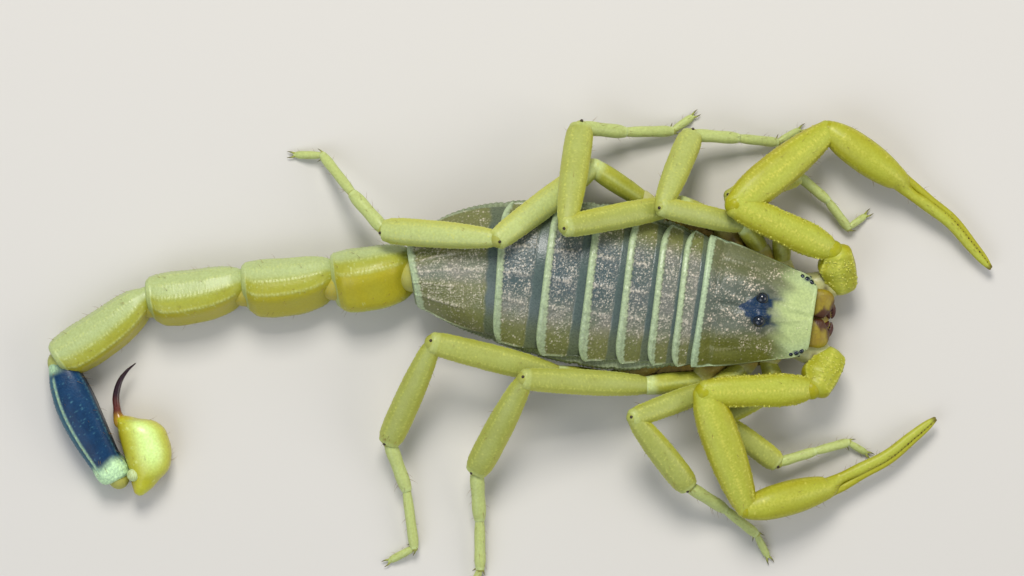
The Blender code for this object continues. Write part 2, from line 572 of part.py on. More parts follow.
def build_telson():
    """The bulb, flattened where it lies against the last segment, and the sting."""
    before, after = tail_points()[4:]
    along = unit(after - before)
    inward = unit(np.cross(UPWARD, along))
    last = TAIL_SEGMENTS[-1]
    touching = [before + along * last.length * t + inward * (scale * last.half_depth + GAP)
                for t, scale in (TAIL_LAST_PROFILE[3], TAIL_LAST_PROFILE[5])]
    facing = np.cross(UPWARD, unit(touching[1] - touching[0]))
    sideways, up = cross_axes(heading_vector(TELSON_HEADING))
    vesicle = [ring(telson_point(a, b), sideways, up, radius, radius * VESICLE_DEPTH, 12)
               for a, b, radius in VESICLE_STATIONS]
    build("telson_vesicle", loft(vesicle), "tail_plate", [floor_cut(), (touching[1], -facing)])
    centres = [telson_point(a, b) for a, b, radius in STING_STATIONS]
    build("aculeus", loft(path_rings(centres, [s[2] for s in STING_STATIONS], 1.0, 8)), "sting")


# ---------------------------------------------------------------- limbs

def leg_points(word, leg):
    side = 1 if word == "left" else -1
    return chain_points(LEG_HIPS[leg], LEG_LENGTHS[leg], LEG_HEADINGS[word, leg], LEG_HEIGHTS[word, leg],
                        side)


def leg_root(word, leg):
    side = 1 if word == "left" else -1
    return np.array((side * LEG_ROOTS[leg][0], *LEG_ROOTS[leg][1:]))


def palp_points(word):
    side = 1 if word == "left" else -1
    return chain_points(PALP_BASE, PALP_LENGTHS, PALP_HEADINGS[word], PALP_HEIGHTS[word], side)


def build_leg(word, leg):
    points = leg_points(word, leg)
    directions = [unit(b - a) for a, b in zip(points, points[1:])]
    widths = LEG_HALF_WIDTHS[leg]
    sizes = [(width, width) for width in widths]
    for flattened in (1, 2):
        sizes[flattened] = (widths[flattened], widths[flattened] * LEG_DEPTH)
    hip_out = unit(points[0] - leg_root(word, leg))
    femur = limb_rings(points[0], points[1], LEG_ROOT_PROFILE, sizes[0], 8, caps=(True, False))
    femur += limb_rings(points[1], points[2], LEG_FEMUR_PROFILE, sizes[1], 8, caps=(False, True))
    hip_cut = mitre(points[0], hip_out, directions[0], False)
    build(f"leg_{word}_{leg}_femur", loft(femur), "limb",
          [hip_cut, mitre(points[2], directions[1], directions[2], True)])
    patella = limb_rings(points[2], points[3], LEG_PATELLA_PROFILE, sizes[2], 8)
    knee_cut = mitre(points[2], directions[1], directions[2], False)
    build(f"leg_{word}_{leg}_patella", loft(patella), "limb",
          [knee_cut, mitre(points[3], directions[2], directions[3], True)])
    foot = []
    for k, profile in enumerate(LEG_FOOT_PROFILES):
        foot += limb_rings(points[3 + k], points[4 + k], profile, sizes[3 + k], 6, caps=(k == 0, False))
    build(f"leg_{word}_{leg}_foot", loft(foot), "limb",
          [mitre(points[3], directions[2], directions[3], False), floor_cut()])


def build_palp(word):
    points = palp_points(word)
    directions = [unit(b - a) for a, b in zip(points, points[1:])]
    side = 1 if word == "left" else -1
    root_out = unit(points[0] - np.array((side * PALP_ROOT[0], *PALP_ROOT[1:])))
    front = heading_vector(PALP_HEADINGS[word][0] - 90, side)
    sideways, up = cross_axes(directions[0])
    trochanter = []
    for share, offset, half_width in TROCHANTER_STATIONS:
        centre = points[0] + (points[1] - points[0]) * share + front * offset
        trochanter.append(ring(centre, sideways, up, half_width, half_width * TROCHANTER_DEPTH, 8))
    root_cut = mitre(points[0], root_out, directions[0], False)
    build(f"palp_{word}_trochanter", loft(trochanter), "limb",
          [root_cut, mitre(points[1], directions[0], directions[1], True)])
    for k, part, profile, size in ((1, "femur", PALP_FEMUR_PROFILE, PALP_FEMUR_SIZE),
                                   (2, "patella", PALP_PATELLA_PROFILE, PALP_PATELLA_SIZE)):
        rings = limb_rings(points[k], points[k + 1], profile, size, 8, PALP_POWER)
        build(f"palp_{word}_{part}", loft(rings), "limb",
              [mitre(points[k], directions[k - 1], directions[k], False),
               mitre(points[k + 1], directions[k], directions[k + 1], True)])
    build_hand(word, points, directions, side)


def build_hand(word, points, directions, side):
    """The slim hand with its fixed finger on the inner side, and the movable finger on the outer side."""
    outward = unit(np.cross(UPWARD, directions[4])) * side
    hand = limb_rings(points[3], points[4], HAND_PROFILE, HAND_SIZE, 8, caps=(True, False))
    reaches = [reach for reach, width in FINGER_STATIONS]
    widths = np.array([width for reach, width in FINGER_STATIONS])
    line = np.transpose([np.interp(reaches, (0, 1, 2), [p[axis] for p in points[4:]]) for axis in range(3)])
    fixed = line + np.outer(FIXED_FINGER[0] * widths, outward)
    movable = line + np.outer(MOVABLE_FINGER[0] * widths, outward) - np.outer(MOVABLE_DROP * widths, UPWARD)
    hand += path_rings(fixed, FIXED_FINGER[1] * widths, FINGER_DEPTH, 8)
    build(f"palp_{word}_hand", loft(hand), "limb", [mitre(points[3], directions[2], directions[3], False)])
    finger = path_rings(movable, MOVABLE_FINGER[1] * widths, FINGER_DEPTH, 8)
    build(f"palp_{word}_finger", loft(finger), "claw")


def centre_on_floor():
    """Moves every object so that the middle of the whole model's footprint is the origin."""
    bodies = [o for o in bpy.context.scene.objects if o.type == "MESH"]
    corners = np.array([v.co[:] for o in bodies if not o.hide_render for v in o.data.vertices])
    low, high = corners.min(axis=0), corners.max(axis=0)
    shift = Matrix.Translation((-(low[0] + high[0]) / 2, -(low[1] + high[1]) / 2, -low[2]))
    for body in bodies:
        body.data.transform(shift)
        body.data.update()


def main():
    for old in list(bpy.data.objects):
        bpy.data.objects.remove(old)
    build_carapace()
    build_tergites()
    build_underside()
    build_coxosternum()
    build_pectines()
    build_chelicerae()
    build_tail()
    build_telson()
    for word in ("left", "right"):
        build_palp(word)
        for leg in LEG_HIPS:
            build_leg(word, leg)
    centre_on_floor()


main()
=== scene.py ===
"""Looks of a resting desert scorpion, an adult female of the deathstalker kind, built round its solids.

Shapes are worked out in millimetres in a working frame: +Z is up, the head looks along -Y, the animal's
left is +X, and the origin is the middle of the carapace's rear edge, on the floor. Placement carries them to
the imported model, in metres. Each plate, limb segment and eye is a closed surface of its own, and one soft
skin lies under the back plates.
"""

import logging
import math
from dataclasses import dataclass, field
from enum import Enum
from typing import Sequence

import bpy
import numpy as np
from mathutils import Matrix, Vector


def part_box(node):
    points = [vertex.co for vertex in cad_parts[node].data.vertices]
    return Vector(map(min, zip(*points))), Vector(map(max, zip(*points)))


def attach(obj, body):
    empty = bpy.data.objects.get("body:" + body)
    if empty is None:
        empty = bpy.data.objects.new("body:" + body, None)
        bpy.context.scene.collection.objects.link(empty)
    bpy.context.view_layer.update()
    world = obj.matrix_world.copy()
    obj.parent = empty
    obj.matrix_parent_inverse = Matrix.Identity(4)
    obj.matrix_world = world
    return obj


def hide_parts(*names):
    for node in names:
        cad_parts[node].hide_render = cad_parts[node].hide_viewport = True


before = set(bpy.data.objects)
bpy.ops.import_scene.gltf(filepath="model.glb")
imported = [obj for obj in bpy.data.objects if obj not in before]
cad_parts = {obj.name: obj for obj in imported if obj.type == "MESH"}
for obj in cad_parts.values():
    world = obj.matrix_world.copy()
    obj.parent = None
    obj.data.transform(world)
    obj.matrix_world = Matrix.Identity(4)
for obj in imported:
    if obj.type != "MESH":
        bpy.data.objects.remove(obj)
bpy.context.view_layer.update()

LOG = logging.getLogger("scorpion")
MM = 0.001
UPWARD = np.array((0.0, 0.0, 1.0))
FULL_TURN = 2 * math.pi
Colour = tuple[float, float, float]
Point = tuple[float, float, float]
Pair = tuple[float, float]
Floats = tuple[float, ...]
Array = np.ndarray
Keys = Sequence[Pair]
Rows = Sequence[Sequence[float]]
Socket = bpy.types.NodeSocket

GRAIN_CYCLE = 96      # cells after which a scatter of granules repeats
BEAD_CYCLE = 128      # beads after which a row repeats
CAP_START = 0.1       # angle at which a rounded end starts, in radians from its pole
CAP_ROWS = 9          # rows of a segment's rounded end
CAP_REACH = 0.9       # length of a curved tube's rounded end, in half widths
RIDGE_FADE = 0.03     # a ridge's ends fade over this share of the length to either side
LIP_ROWS = 5          # rows round a plate's lip
INNER_ROWS = 7        # rows of a plate's inner face
EDGE_POWER = 14       # how suddenly a plate thins at its two sides
EDGE_THINNING = 0.65  # share of its thickness that it loses there
PLATE_DETAIL = 13     # rows of a limb segment for each millimetre
FEWEST_GRAINS = 6     # cells of granules round the slimmest tube
HAIR_ROOT = 0.03      # depth of a bristle's root, and its least height over the floor

PALP_BASE: Point = (3.4, -12.1, 2.9)
HIPS: dict[int, Point] = {1: (4.6, -6.9, 2.6), 2: (5.6, -4.7, 2.6), 3: (7.2, -1.0, 2.6), 4: (8.5, 6.8, 2.2)}


# ---- curves and fields

class Side(Enum):
    """A side of the animal; the value is the sign of its X."""

    LEFT = 1
    RIGHT = -1

    @property
    def word(self) -> str:
        """The side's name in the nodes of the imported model."""
        return self.name.lower()


class Mark(Enum):
    """A value at each point of a surface, from 0 to 1, that its finish reads as an attribute."""

    PALE = "pale"
    WARM = "warm"
    DARK = "dark"
    BEAD = "bead"
    DEEP = "deep"
    SMOOTH = "smooth"


PALE, WARM, DARK, BEAD, DEEP, SMOOTH = Mark


def unit(vectors: Array) -> Array:
    """The vectors at length 1."""
    return vectors / np.linalg.norm(vectors, axis=-1, keepdims=True)


def distance(start: Array, end: Array) -> float:
    """Distance between two points."""
    return float(np.linalg.norm(end - start))


def directions(points: Array) -> list[Array]:
    """Unit vectors from each point to the next."""
    return [unit(after - before) for before, after in zip(points, points[1:])]


def rise(low: float, high: float, value: Array) -> Array:
    """Rises from 0 at low to 1 at high as t * t * (3 - 2 * t)."""
    t = np.clip((value - low) / (high - low), 0.0, 1.0)
    return t * t * (3 - 2 * t)


def hump(value: Array, centre: float | Array, width: float | Array) -> Array:
    """A rounded hump of height 1: exp(-((value - centre) / width)^2)."""
    return np.exp(-((value - centre) / width) ** 2)


def rounding(past: Array) -> Array:
    """The width scale of a rounded end, sqrt(1 - past^2), where past runs from 0 to 1 over it."""
    return np.sqrt(np.clip(1 - past ** 2, 0.0, 1.0))


def signed_power(value: Array, power: float) -> Array:
    """The power of the value's size, with the value's own sign."""
    return np.sign(value) * np.abs(value) ** power


def smooth_curve(keys: Rows, place: Array | float) -> Array:
    """A smooth curve through keys.

    Args:
        keys: Rows of (place, value, ...); all the values of a row are carried along together.
        place: Where the curve is wanted.

    Returns:
        The value at each place, by Hermite's cubic with slopes from the neighbouring keys.
    """
    table = np.array(keys, dtype=float)
    at, value = table[:, 0], table[:, 1:]
    slope = np.gradient(value, at, axis=0)
    place = np.clip(np.asarray(place, dtype=float), at[0], at[-1])
    i = np.clip(np.searchsorted(at, place, side="right") - 1, 0, len(at) - 2)
    span = (at[i + 1] - at[i])[..., None]
    t = (place - at[i])[..., None] / span
    made = (value[i] * (1 + 2 * t) * (1 - t) ** 2 + slope[i] * span * t * (1 - t) ** 2
            + value[i + 1] * t ** 2 * (3 - 2 * t) + slope[i + 1] * span * t ** 2 * (t - 1))
    return made[..., 0] if table.shape[1] == 2 else made


def bead_row(along: Array, spacing: float, seed: int) -> Array:
    """Height (0 to 1) along a row of uneven beads.

    Each cell of the row holds one bead of its own size, a little off its middle, and the height is the
    highest of 1 - (distance / radius)^2 over the three nearest beads.

    Args:
        along: Distances along the row, in millimetres.
        spacing: Distance between beads.
        seed: Seed of the unevenness.

    Returns:
        The height at each distance.
    """
    table = np.random.default_rng(seed).random((BEAD_CYCLE, 2))
    cell = np.floor(along / spacing).astype(int)
    height = np.zeros(np.shape(along))
    for step in (-1, 0, 1):
        shift, size = np.moveaxis(table[(cell + step) % BEAD_CYCLE], -1, 0)
        centre = (cell + step + 0.5 + 0.3 * (shift - 0.5)) * spacing
        radius = spacing * (0.4 + 0.16 * size)
        bead = (0.6 + 0.4 * size) * np.clip(1 - ((along - centre) / radius) ** 2, 0.0, 1.0)
        height = np.maximum(height, bead)
    return height


def granules(u: Array, v: Array, pitch: float, density: Array | float, seed: int, around: int = 0) -> Array:
    """Height (0 to 1) of granules scattered over a surface.

    The surface is divided into square cells that hold at most one granule each, off its middle, and the
    height is the highest of size * (1 - (distance / radius)^2) over the nine nearest cells.

    Args:
        u: First coordinate over the surface, in millimetres.
        v: Second coordinate, in millimetres.
        pitch: Side of a cell.
        density: Share of the cells that hold a granule, from 0 to 1.
        seed: Seed of the scatter.
        around: Number of cells after which v comes round to its start, or 0 where it doesn't.

    Returns:
        The height at each point.
    """
    table = np.random.default_rng(seed).random((GRAIN_CYCLE, GRAIN_CYCLE, 4))
    cell_u, cell_v = np.floor(u / pitch).astype(int), np.floor(v / pitch).astype(int)
    height = np.zeros(np.broadcast_shapes(np.shape(u), np.shape(v)))
    for step_u in (-1, 0, 1):
        for step_v in (-1, 0, 1):
            row, column = cell_u + step_u, cell_v + step_v
            column_in_turn = (column % around if around else column) % GRAIN_CYCLE
            shift_u, shift_v, bulk, chance = np.moveaxis(table[row % GRAIN_CYCLE, column_in_turn], -1, 0)
            middle_u = (row + 0.5 + 0.7 * (shift_u - 0.5)) * pitch
            middle_v = (column + 0.5 + 0.7 * (shift_v - 0.5)) * pitch
            radius = pitch * (0.26 + 0.26 * bulk)
            gap = ((u - middle_u) ** 2 + (v - middle_v) ** 2) / radius ** 2
            granule = (0.55 + 0.45 * bulk) * np.clip(1 - gap, 0, 1)
            height = np.maximum(height, np.where(chance < density, granule, 0))
    return height


def cross_axes(direction: Array, roll: float | Array = 0.0) -> tuple[Array, Array]:
    """Axes across each direction.

    Args:
        direction: Unit vectors along a path.
        roll: Turn of the axes about it, in degrees.

    Returns:
        Sideways and upward unit vectors.
    """
    up = unit(UPWARD - direction * direction[..., 2:3])
    level = np.cross(up, direction)
    angle = np.radians(np.asarray(roll, dtype=float))[..., None]
    return level * np.cos(angle) - up * np.sin(angle), up * np.cos(angle) + level * np.sin(angle)


def heading_vector(heading: float, side: int = 1) -> Array:
    """Level unit vector: 0 degrees forward, 90 outward on the given side, 180 to the rear."""
    angle = math.radians(heading)
    return np.array((side * math.sin(angle), -math.cos(angle), 0.0))


def chain_points(start: Point, lengths: Sequence[float], headings: Sequence[float], heights: Sequence[float],
                 side: int = 1) -> Array:
    """Joint centres of a limb.

    Args:
        start: First joint, on the animal's left.
        lengths: Length of each segment.
        headings: Heading of each segment, in degrees.
        heights: Height of each segment's far end.
        side: Sign of the side that the limb is on.

    Returns:
        One more point than segments; a segment's level run is sqrt(length^2 - rise^2).
    """
    points = [np.array((side * start[0], start[1], start[2]), dtype=float)]
    for length, heading, height in zip(lengths, headings, heights):
        rise = height - points[-1][2]
        run = math.sqrt(length ** 2 - rise ** 2)
        points.append(points[-1] + run * heading_vector(heading, side) + np.array((0.0, 0.0, rise)))
    return np.array(points)


# ---- surfaces

@dataclass
class Surface:
    """A closed skin in working millimetres, with a value of each mark at each point."""

    points: Array
    quads: Array
    tris: Array
    marks: dict[Mark, Array]

    def facing_out(self) -> "Surface":
        """The surface with its faces outward: the sum of a . (b x c) / 6 over its triangles is positive."""
        corners = np.concatenate((self.tris, self.quads[:, [0, 1, 2]], self.quads[:, [0, 2, 3]]))
        a, b, c = self.points[corners].transpose(1, 0, 2)
        if np.einsum("ij,ij->i", a, np.cross(b, c)).sum() < 0:
            self.quads, self.tris = self.quads[:, ::-1], self.tris[:, ::-1]
        return self

    @staticmethod
    def copies(points: Array, quads: Array, tris: Array, marks: dict[Mark, Array]) -> "Surface":
        """Copies of one shape, from each copy's points, the faces of the first, and marks at every point."""
        shift = (np.arange(points.shape[0]) * points.shape[1])[:, None, None]
        quads, tris = (quads + shift).reshape(-1, 4), (tris + shift).reshape(-1, 3)
        return Surface(points.reshape(-1, 3), quads, tris, marks)

    @staticmethod
    def joined(parts: Sequence["Surface"]) -> "Surface":
        """Several surfaces as one; a mark that a part lacks is 0 there."""
        starts = np.cumsum([0] + [len(part.points) for part in parts])
        used = {mark for part in parts for mark in part.marks}
        marks = {mark: np.concatenate([part.marks.get(mark, np.zeros(len(part.points))) for part in parts])
                 for mark in used}
        return Surface(np.concatenate([part.points for part in parts]),
                       np.concatenate([part.quads + start for part, start in zip(parts, starts)]),
                       np.concatenate([part.tris + start for part, start in zip(parts, starts)]), marks)


def closed_grid(points: Array, marks: dict[Mark, Array]) -> Surface:
    """A closed skin over a grid of points.

    Args:
        points: Points by row and column; the columns run round each row and meet again.
        marks: A value for each point of the grid.

    Returns:
        The skin, with a pole at the middle of its first and of its last row.
    """
    rows, columns = points.shape[:2]
    ring = np.arange(columns)
    after = (ring + 1) % columns
    start = (np.arange(rows - 1) * columns)[:, None]
    quads = np.stack((start + ring, start + after, start + after + columns, start + ring + columns), axis=-1)
    first, last = rows * columns, rows * columns + 1
    base = (rows - 1) * columns
    tris = np.concatenate((np.stack((np.full(columns, first), after, ring), axis=-1),
                           np.stack((np.full(columns, last), base + ring, base + after), axis=-1)))
    poles = np.stack((points[0].mean(axis=0), points[-1].mean(axis=0)))
    values = {mark: np.concatenate((grid.ravel(), (grid[0].mean(), grid[-1].mean())))
              for mark, grid in marks.items()}
    return Surface(np.concatenate((points.reshape(-1, 3), poles)), quads.reshape(-1, 4), tris,
                   values).facing_out()


def balls(centres: Array, radii: Array | float, marks: dict[Mark, float | Array], rings: int = 4,
          columns: int = 8) -> Surface:
    """Small balls, as one surface.

    Args:
        centres: Middle of each ball.
        radii: Radius of each ball, or one (x, y, z) radius row for each.
        marks: The same value all over each ball; one number, or one for each ball.
        rings: Rings between a ball's poles.
        columns: Points round each ring.

    Returns:
        The balls: a point is centre + radius * (sin p cos q, sin p sin q, cos p).
    """
    polar = math.pi * (np.arange(rings) + 1) / (rings + 1)
    turn = FULL_TURN * np.arange(columns) / columns
    grid = np.stack((np.outer(np.sin(polar), np.cos(turn)), np.outer(np.sin(polar), np.sin(turn)),
                     np.outer(np.cos(polar), np.ones(columns))), axis=-1)
    one = closed_grid(grid, {})
    one.points[-2:] = ((0.0, 0.0, 1.0), (0.0, 0.0, -1.0))
    centres = np.asarray(centres, dtype=float).reshape(-1, 3)
    count, size = len(centres), len(one.points)
    scale = np.broadcast_to(np.asarray(radii, dtype=float).reshape(-1, 1) if np.ndim(radii) < 2 else radii,
                            (count, 3))
    marks = {mark: np.repeat(np.broadcast_to(value, count), size) for mark, value in marks.items()}
    return Surface.copies(centres[:, None] + scale[:, None] * one.points, one.quads, one.tris, marks)


class Tube:
    """A closed tube of plate along a path, with ridges, beads and marks laid on it.

    A point is path + across * half_width * sideways + over * half_depth * up, where (across, over) runs
    round a superellipse, and is then moved outward by the lift.
    """

    def __init__(self, path: Array, half_width: Array, half_depth: Array, columns: int, power: float = 2.0,
                 roll: float | Array = 0.0, share: Array | None = None,
                 direction: Array | None = None) -> None:
        """Lays the plain tube.

        Args:
            path: Middle line, one point a row.
            half_width: Half width at each row.
            half_depth: Half depth at each row.
            columns: Points round the tube.
            power: 2 for an ellipse, more for a squarer section.
            roll: Turn about the path, in degrees.
            share: Place of each row between the segment's joints, from 0 to 1.
            direction: The way across which every section lies; without it each lies across the path.
        """
        step = np.linalg.norm(np.diff(path, axis=0), axis=1)
        self.along = np.concatenate(((0.0,), np.cumsum(step)))[:, None]
        self.share = (self.along[:, 0] / self.along[-1, 0] if share is None else share)[:, None]
        self.path, self.direction = path, unit(np.gradient(path, self.along[:, 0], axis=0))
        if direction is not None:
            self.direction = np.broadcast_to(direction, path.shape)
        self.sideways, self.up = cross_axes(self.direction, roll)
        self.angle = FULL_TURN * (np.arange(columns) / columns)[None, :]
        self.half_width, self.half_depth = half_width[:, None], half_depth[:, None]
        self.radius = (self.half_width + self.half_depth) / 2
        across, over = (signed_power(wave, 2 / power) for wave in (np.cos(self.angle), np.sin(self.angle)))
        self.points = (path[:, None] + (across * self.half_width)[..., None] * self.sideways[:, None]
                       + (over * self.half_depth)[..., None] * self.up[:, None])
        slope = 2 - 2 / power
        side_slope = signed_power(np.cos(self.angle), slope) * self.half_depth
        up_slope = signed_power(np.sin(self.angle), slope) * self.half_width
        self.outward = unit(side_slope[..., None] * self.sideways[:, None]
                            + up_slope[..., None] * self.up[:, None])
        self.lift = np.zeros(self.points.shape[:2])
        self.marks: dict[Mark, Array] = {}

    def mark(self, mark: Mark, amount: Array | float) -> None:
        """Raises a mark to at least the amount."""
        amount = np.broadcast_to(amount, self.lift.shape)
        self.marks[mark] = np.maximum(self.marks.get(mark, np.zeros(self.lift.shape)), amount)

    def arc(self, at: float | Array) -> Array:
        """Distance round the tube from an angle in degrees, in millimetres."""
        turn = self.angle - np.radians(at)
        return (np.mod(turn + math.pi, FULL_TURN) - math.pi) * self.radius

    def near(self, at: float, width: float) -> Array:
        """A rounded hump of height 1 about an angle in degrees; its width is in radians."""
        return hump(self.arc(at) / self.radius, 0.0, width)

    def carina(self, at: float | Array, height: float, width: float = 0.13, spacing: float = 0.0,
               span: Pair = (0.06, 0.94), pale: float = 0.5, warm: float = 0.0,
               seed: int = 1) -> None:
        """Lays a ridge along the tube.

        Args:
            at: Angle round the tube in degrees, at each row or for all.
            height: Height in millimetres.
            width: Half width in millimetres.
            spacing: Distance between its beads, or 0 for a plain ridge.
            span: Where it starts and ends, as shares of the length.
            pale: How light it is.
            warm: How yellow it is.
            seed: Seed of its unevenness.
        """
        start, end = span
        ends = (rise(start - RIDGE_FADE, start + RIDGE_FADE, self.share)
                * rise(-end - RIDGE_FADE, -end + RIDGE_FADE, -self.share))
        ridge = hump(self.arc(at), 0.0, width) * ends
        beads = bead_row(self.along, spacing, seed) if spacing else np.ones(self.along.shape)
        self.lift += height * ridge * (0.3 + 0.7 * beads)
        self.mark(PALE, pale * ridge)
        self.mark(WARM, warm * ridge)
        self.mark(BEAD, ridge * beads * (1.0 if spacing else 0.3))

    def granulate(self, pitch: float, height: float, density: Array | float, seed: int) -> None:
        """Scatters granules over the tube, in whole cells round it."""
        around = max(FEWEST_GRAINS, round(FULL_TURN * float(np.median(self.radius)) / pitch))
        bumps = granules(self.along / pitch, self.angle / FULL_TURN * around, 1.0, density, seed, around)
        self.lift += height * bumps
        self.mark(BEAD, bumps)

    def surface(self) -> Surface:
        """The finished skin; nothing of it lies under the floor."""
        points = self.points + self.lift[..., None] * self.outward
        points[..., 2] = np.maximum(points[..., 2], 0.0)
        return closed_grid(points, self.marks)


def straight_tube(start: Array, end: Array, profile: Rows, half_width: float, half_depth: float,
                  columns: int, rows: int, power: float = 2.0, roll: float = 0.0, reach: Pair = (0.7, 0.7),
                  bow: float = 0.0) -> Tube:
    """A limb segment between two joints, with rounded ends that reach past them.

    The half width is half_width * profile(share) * sqrt(1 - (overrun / reach)^2), where overrun is how far a
    row lies past a joint. A bow moves the middle line down by bow * sin(pi * share).

    Args:
        start: First joint.
        end: Second joint.
        profile: Rows of (share, width scale) or (share, width scale, depth scale).
        half_width: Half width where the scale is 1.
        half_depth: Half depth where the scale is 1.
        columns: Points round the tube.
        rows: Rows between the joints.
        power: Squareness of the section.
        roll: Turn about the segment, in degrees.
        reach: Length of each rounded end, as a share of the half width there.
        bow: How far the middle of the segment sags towards its lower side.

    Returns:
        The plain tube.
    """
    length = distance(start, end)
    table = np.array(profile, dtype=float)
    caps = (reach[0] * half_width * table[0, 1], reach[1] * half_width * table[-1, 1])
    arc = np.linspace(CAP_START, math.pi / 2, CAP_ROWS)
    place = np.concatenate((-caps[0] * np.cos(arc)[:-1], np.linspace(0.0, length, rows),
                            length + caps[1] * np.sin(math.pi / 2 - arc)[::-1][1:]))
    over = np.where(place < 0, place / caps[0], np.where(place > length, (place - length) / caps[1], 0.0))
    share = np.clip(place / length, 0.0, 1.0)
    width = smooth_curve(table[:, :2], share) * rounding(over) * half_width
    depth = smooth_curve(table[:, [0, -1]], share) * rounding(over) * half_depth
    direction = unit(end - start)
    up = cross_axes(direction, roll)[1]
    path = start + place[:, None] * direction - (bow * np.sin(math.pi * share))[:, None] * up
    return Tube(path, width, depth, columns, power, roll, share)


def curved_tube(stations: Rows, columns: int, rows: int, power: float = 2.0, depth_scale: float = 1.0,
                direction: Array | None = None) -> Tube:
    """A tube along a smooth curve.

    Args:
        stations: Rows of (x, y, z, half width) from end to end.
        columns: Points round the tube.
        rows: Rows along it.
        power: Squareness of the section.
        depth_scale: Half depth over half width.
        direction: The way across which every section lies; without it each lies across the path.

    Returns:
        The plain tube, with rounded ends inside its first and last station.
    """
    table = np.array(stations, dtype=float)
    gaps = np.linalg.norm(np.diff(table[:, :3], axis=0), axis=1)
    at = np.concatenate(((0.0,), np.cumsum(gaps)))
    caps = np.array((table[0, 3], table[-1, 3])) * CAP_REACH
    arc = np.linspace(CAP_START, math.pi / 2, CAP_ROWS - 2)
    place = np.concatenate((caps[0] * (1 - np.cos(arc))[:-1], np.linspace(caps[0], at[-1] - caps[1], rows),
                            at[-1] - caps[1] * (1 - np.sin(math.pi / 2 - arc))[::-1][1:]))
    made = smooth_curve(np.column_stack((at, table)), place)
    at_end = np.where(place > at[-1] - caps[1], 1 - (at[-1] - place) / caps[1], 0.0)
    width = made[:, 3] * rounding(np.where(place < caps[0], 1 - place / caps[0], at_end))
    return Tube(made[:, :3], width, width * depth_scale, columns, power, direction=direction)


def hook(base: Array, direction: Array, curl: Array, length: float, radius: float, dark: float = 1.0,
         columns: int = 8, rows: int = 8) -> Surface:
    """A tapered hook: base + length * (t * direction + t^2 * curl), with radius * (1 - 0.92 * t)^0.8."""
    t = np.linspace(0.0, 1.0, rows)
    path = base + length * (t[:, None] * direction + (t ** 2)[:, None] * curl)
    width = radius * (1 - 0.92 * t) ** 0.8
    made = Tube(path, width, width, columns)
    made.mark(DARK, dark * rise(0.15, 0.75, made.share))
    return made.surface()


# ---- finishes

class Value:
    """A number in a node tree; arithmetic on it adds Math nodes."""

    def __init__(self, paint: "Paint", socket: Socket) -> None:
        """Wraps an output socket of the paint's tree."""
        self.paint, self.socket = paint, socket

    def __add__(self, other: "Value | float") -> "Value":
        """self + other."""
        return self.paint.maths("ADD", self, other)

    def __sub__(self, other: "Value | float") -> "Value":
        """self - other."""
        return self.paint.maths("SUBTRACT", self, other)

    def __rsub__(self, other: float) -> "Value":
        """other - self."""
        return self.paint.maths("SUBTRACT", other, self)

    def __mul__(self, other: "Value | float") -> "Value":
        """self * other."""
        return self.paint.maths("MULTIPLY", self, other)

    __radd__, __rmul__ = __add__, __mul__

    def between(self, low: float, high: float) -> "Value":
        """0 below low, 1 above high, and a smooth rise between."""
        made = self.paint.node("MapRange", {"interpolation_type": "SMOOTHSTEP"},
                               {"Value": self, "From Min": low, "From Max": high})
        return Value(self.paint, made.outputs["Result"])


Source = Value | Socket | float | tuple


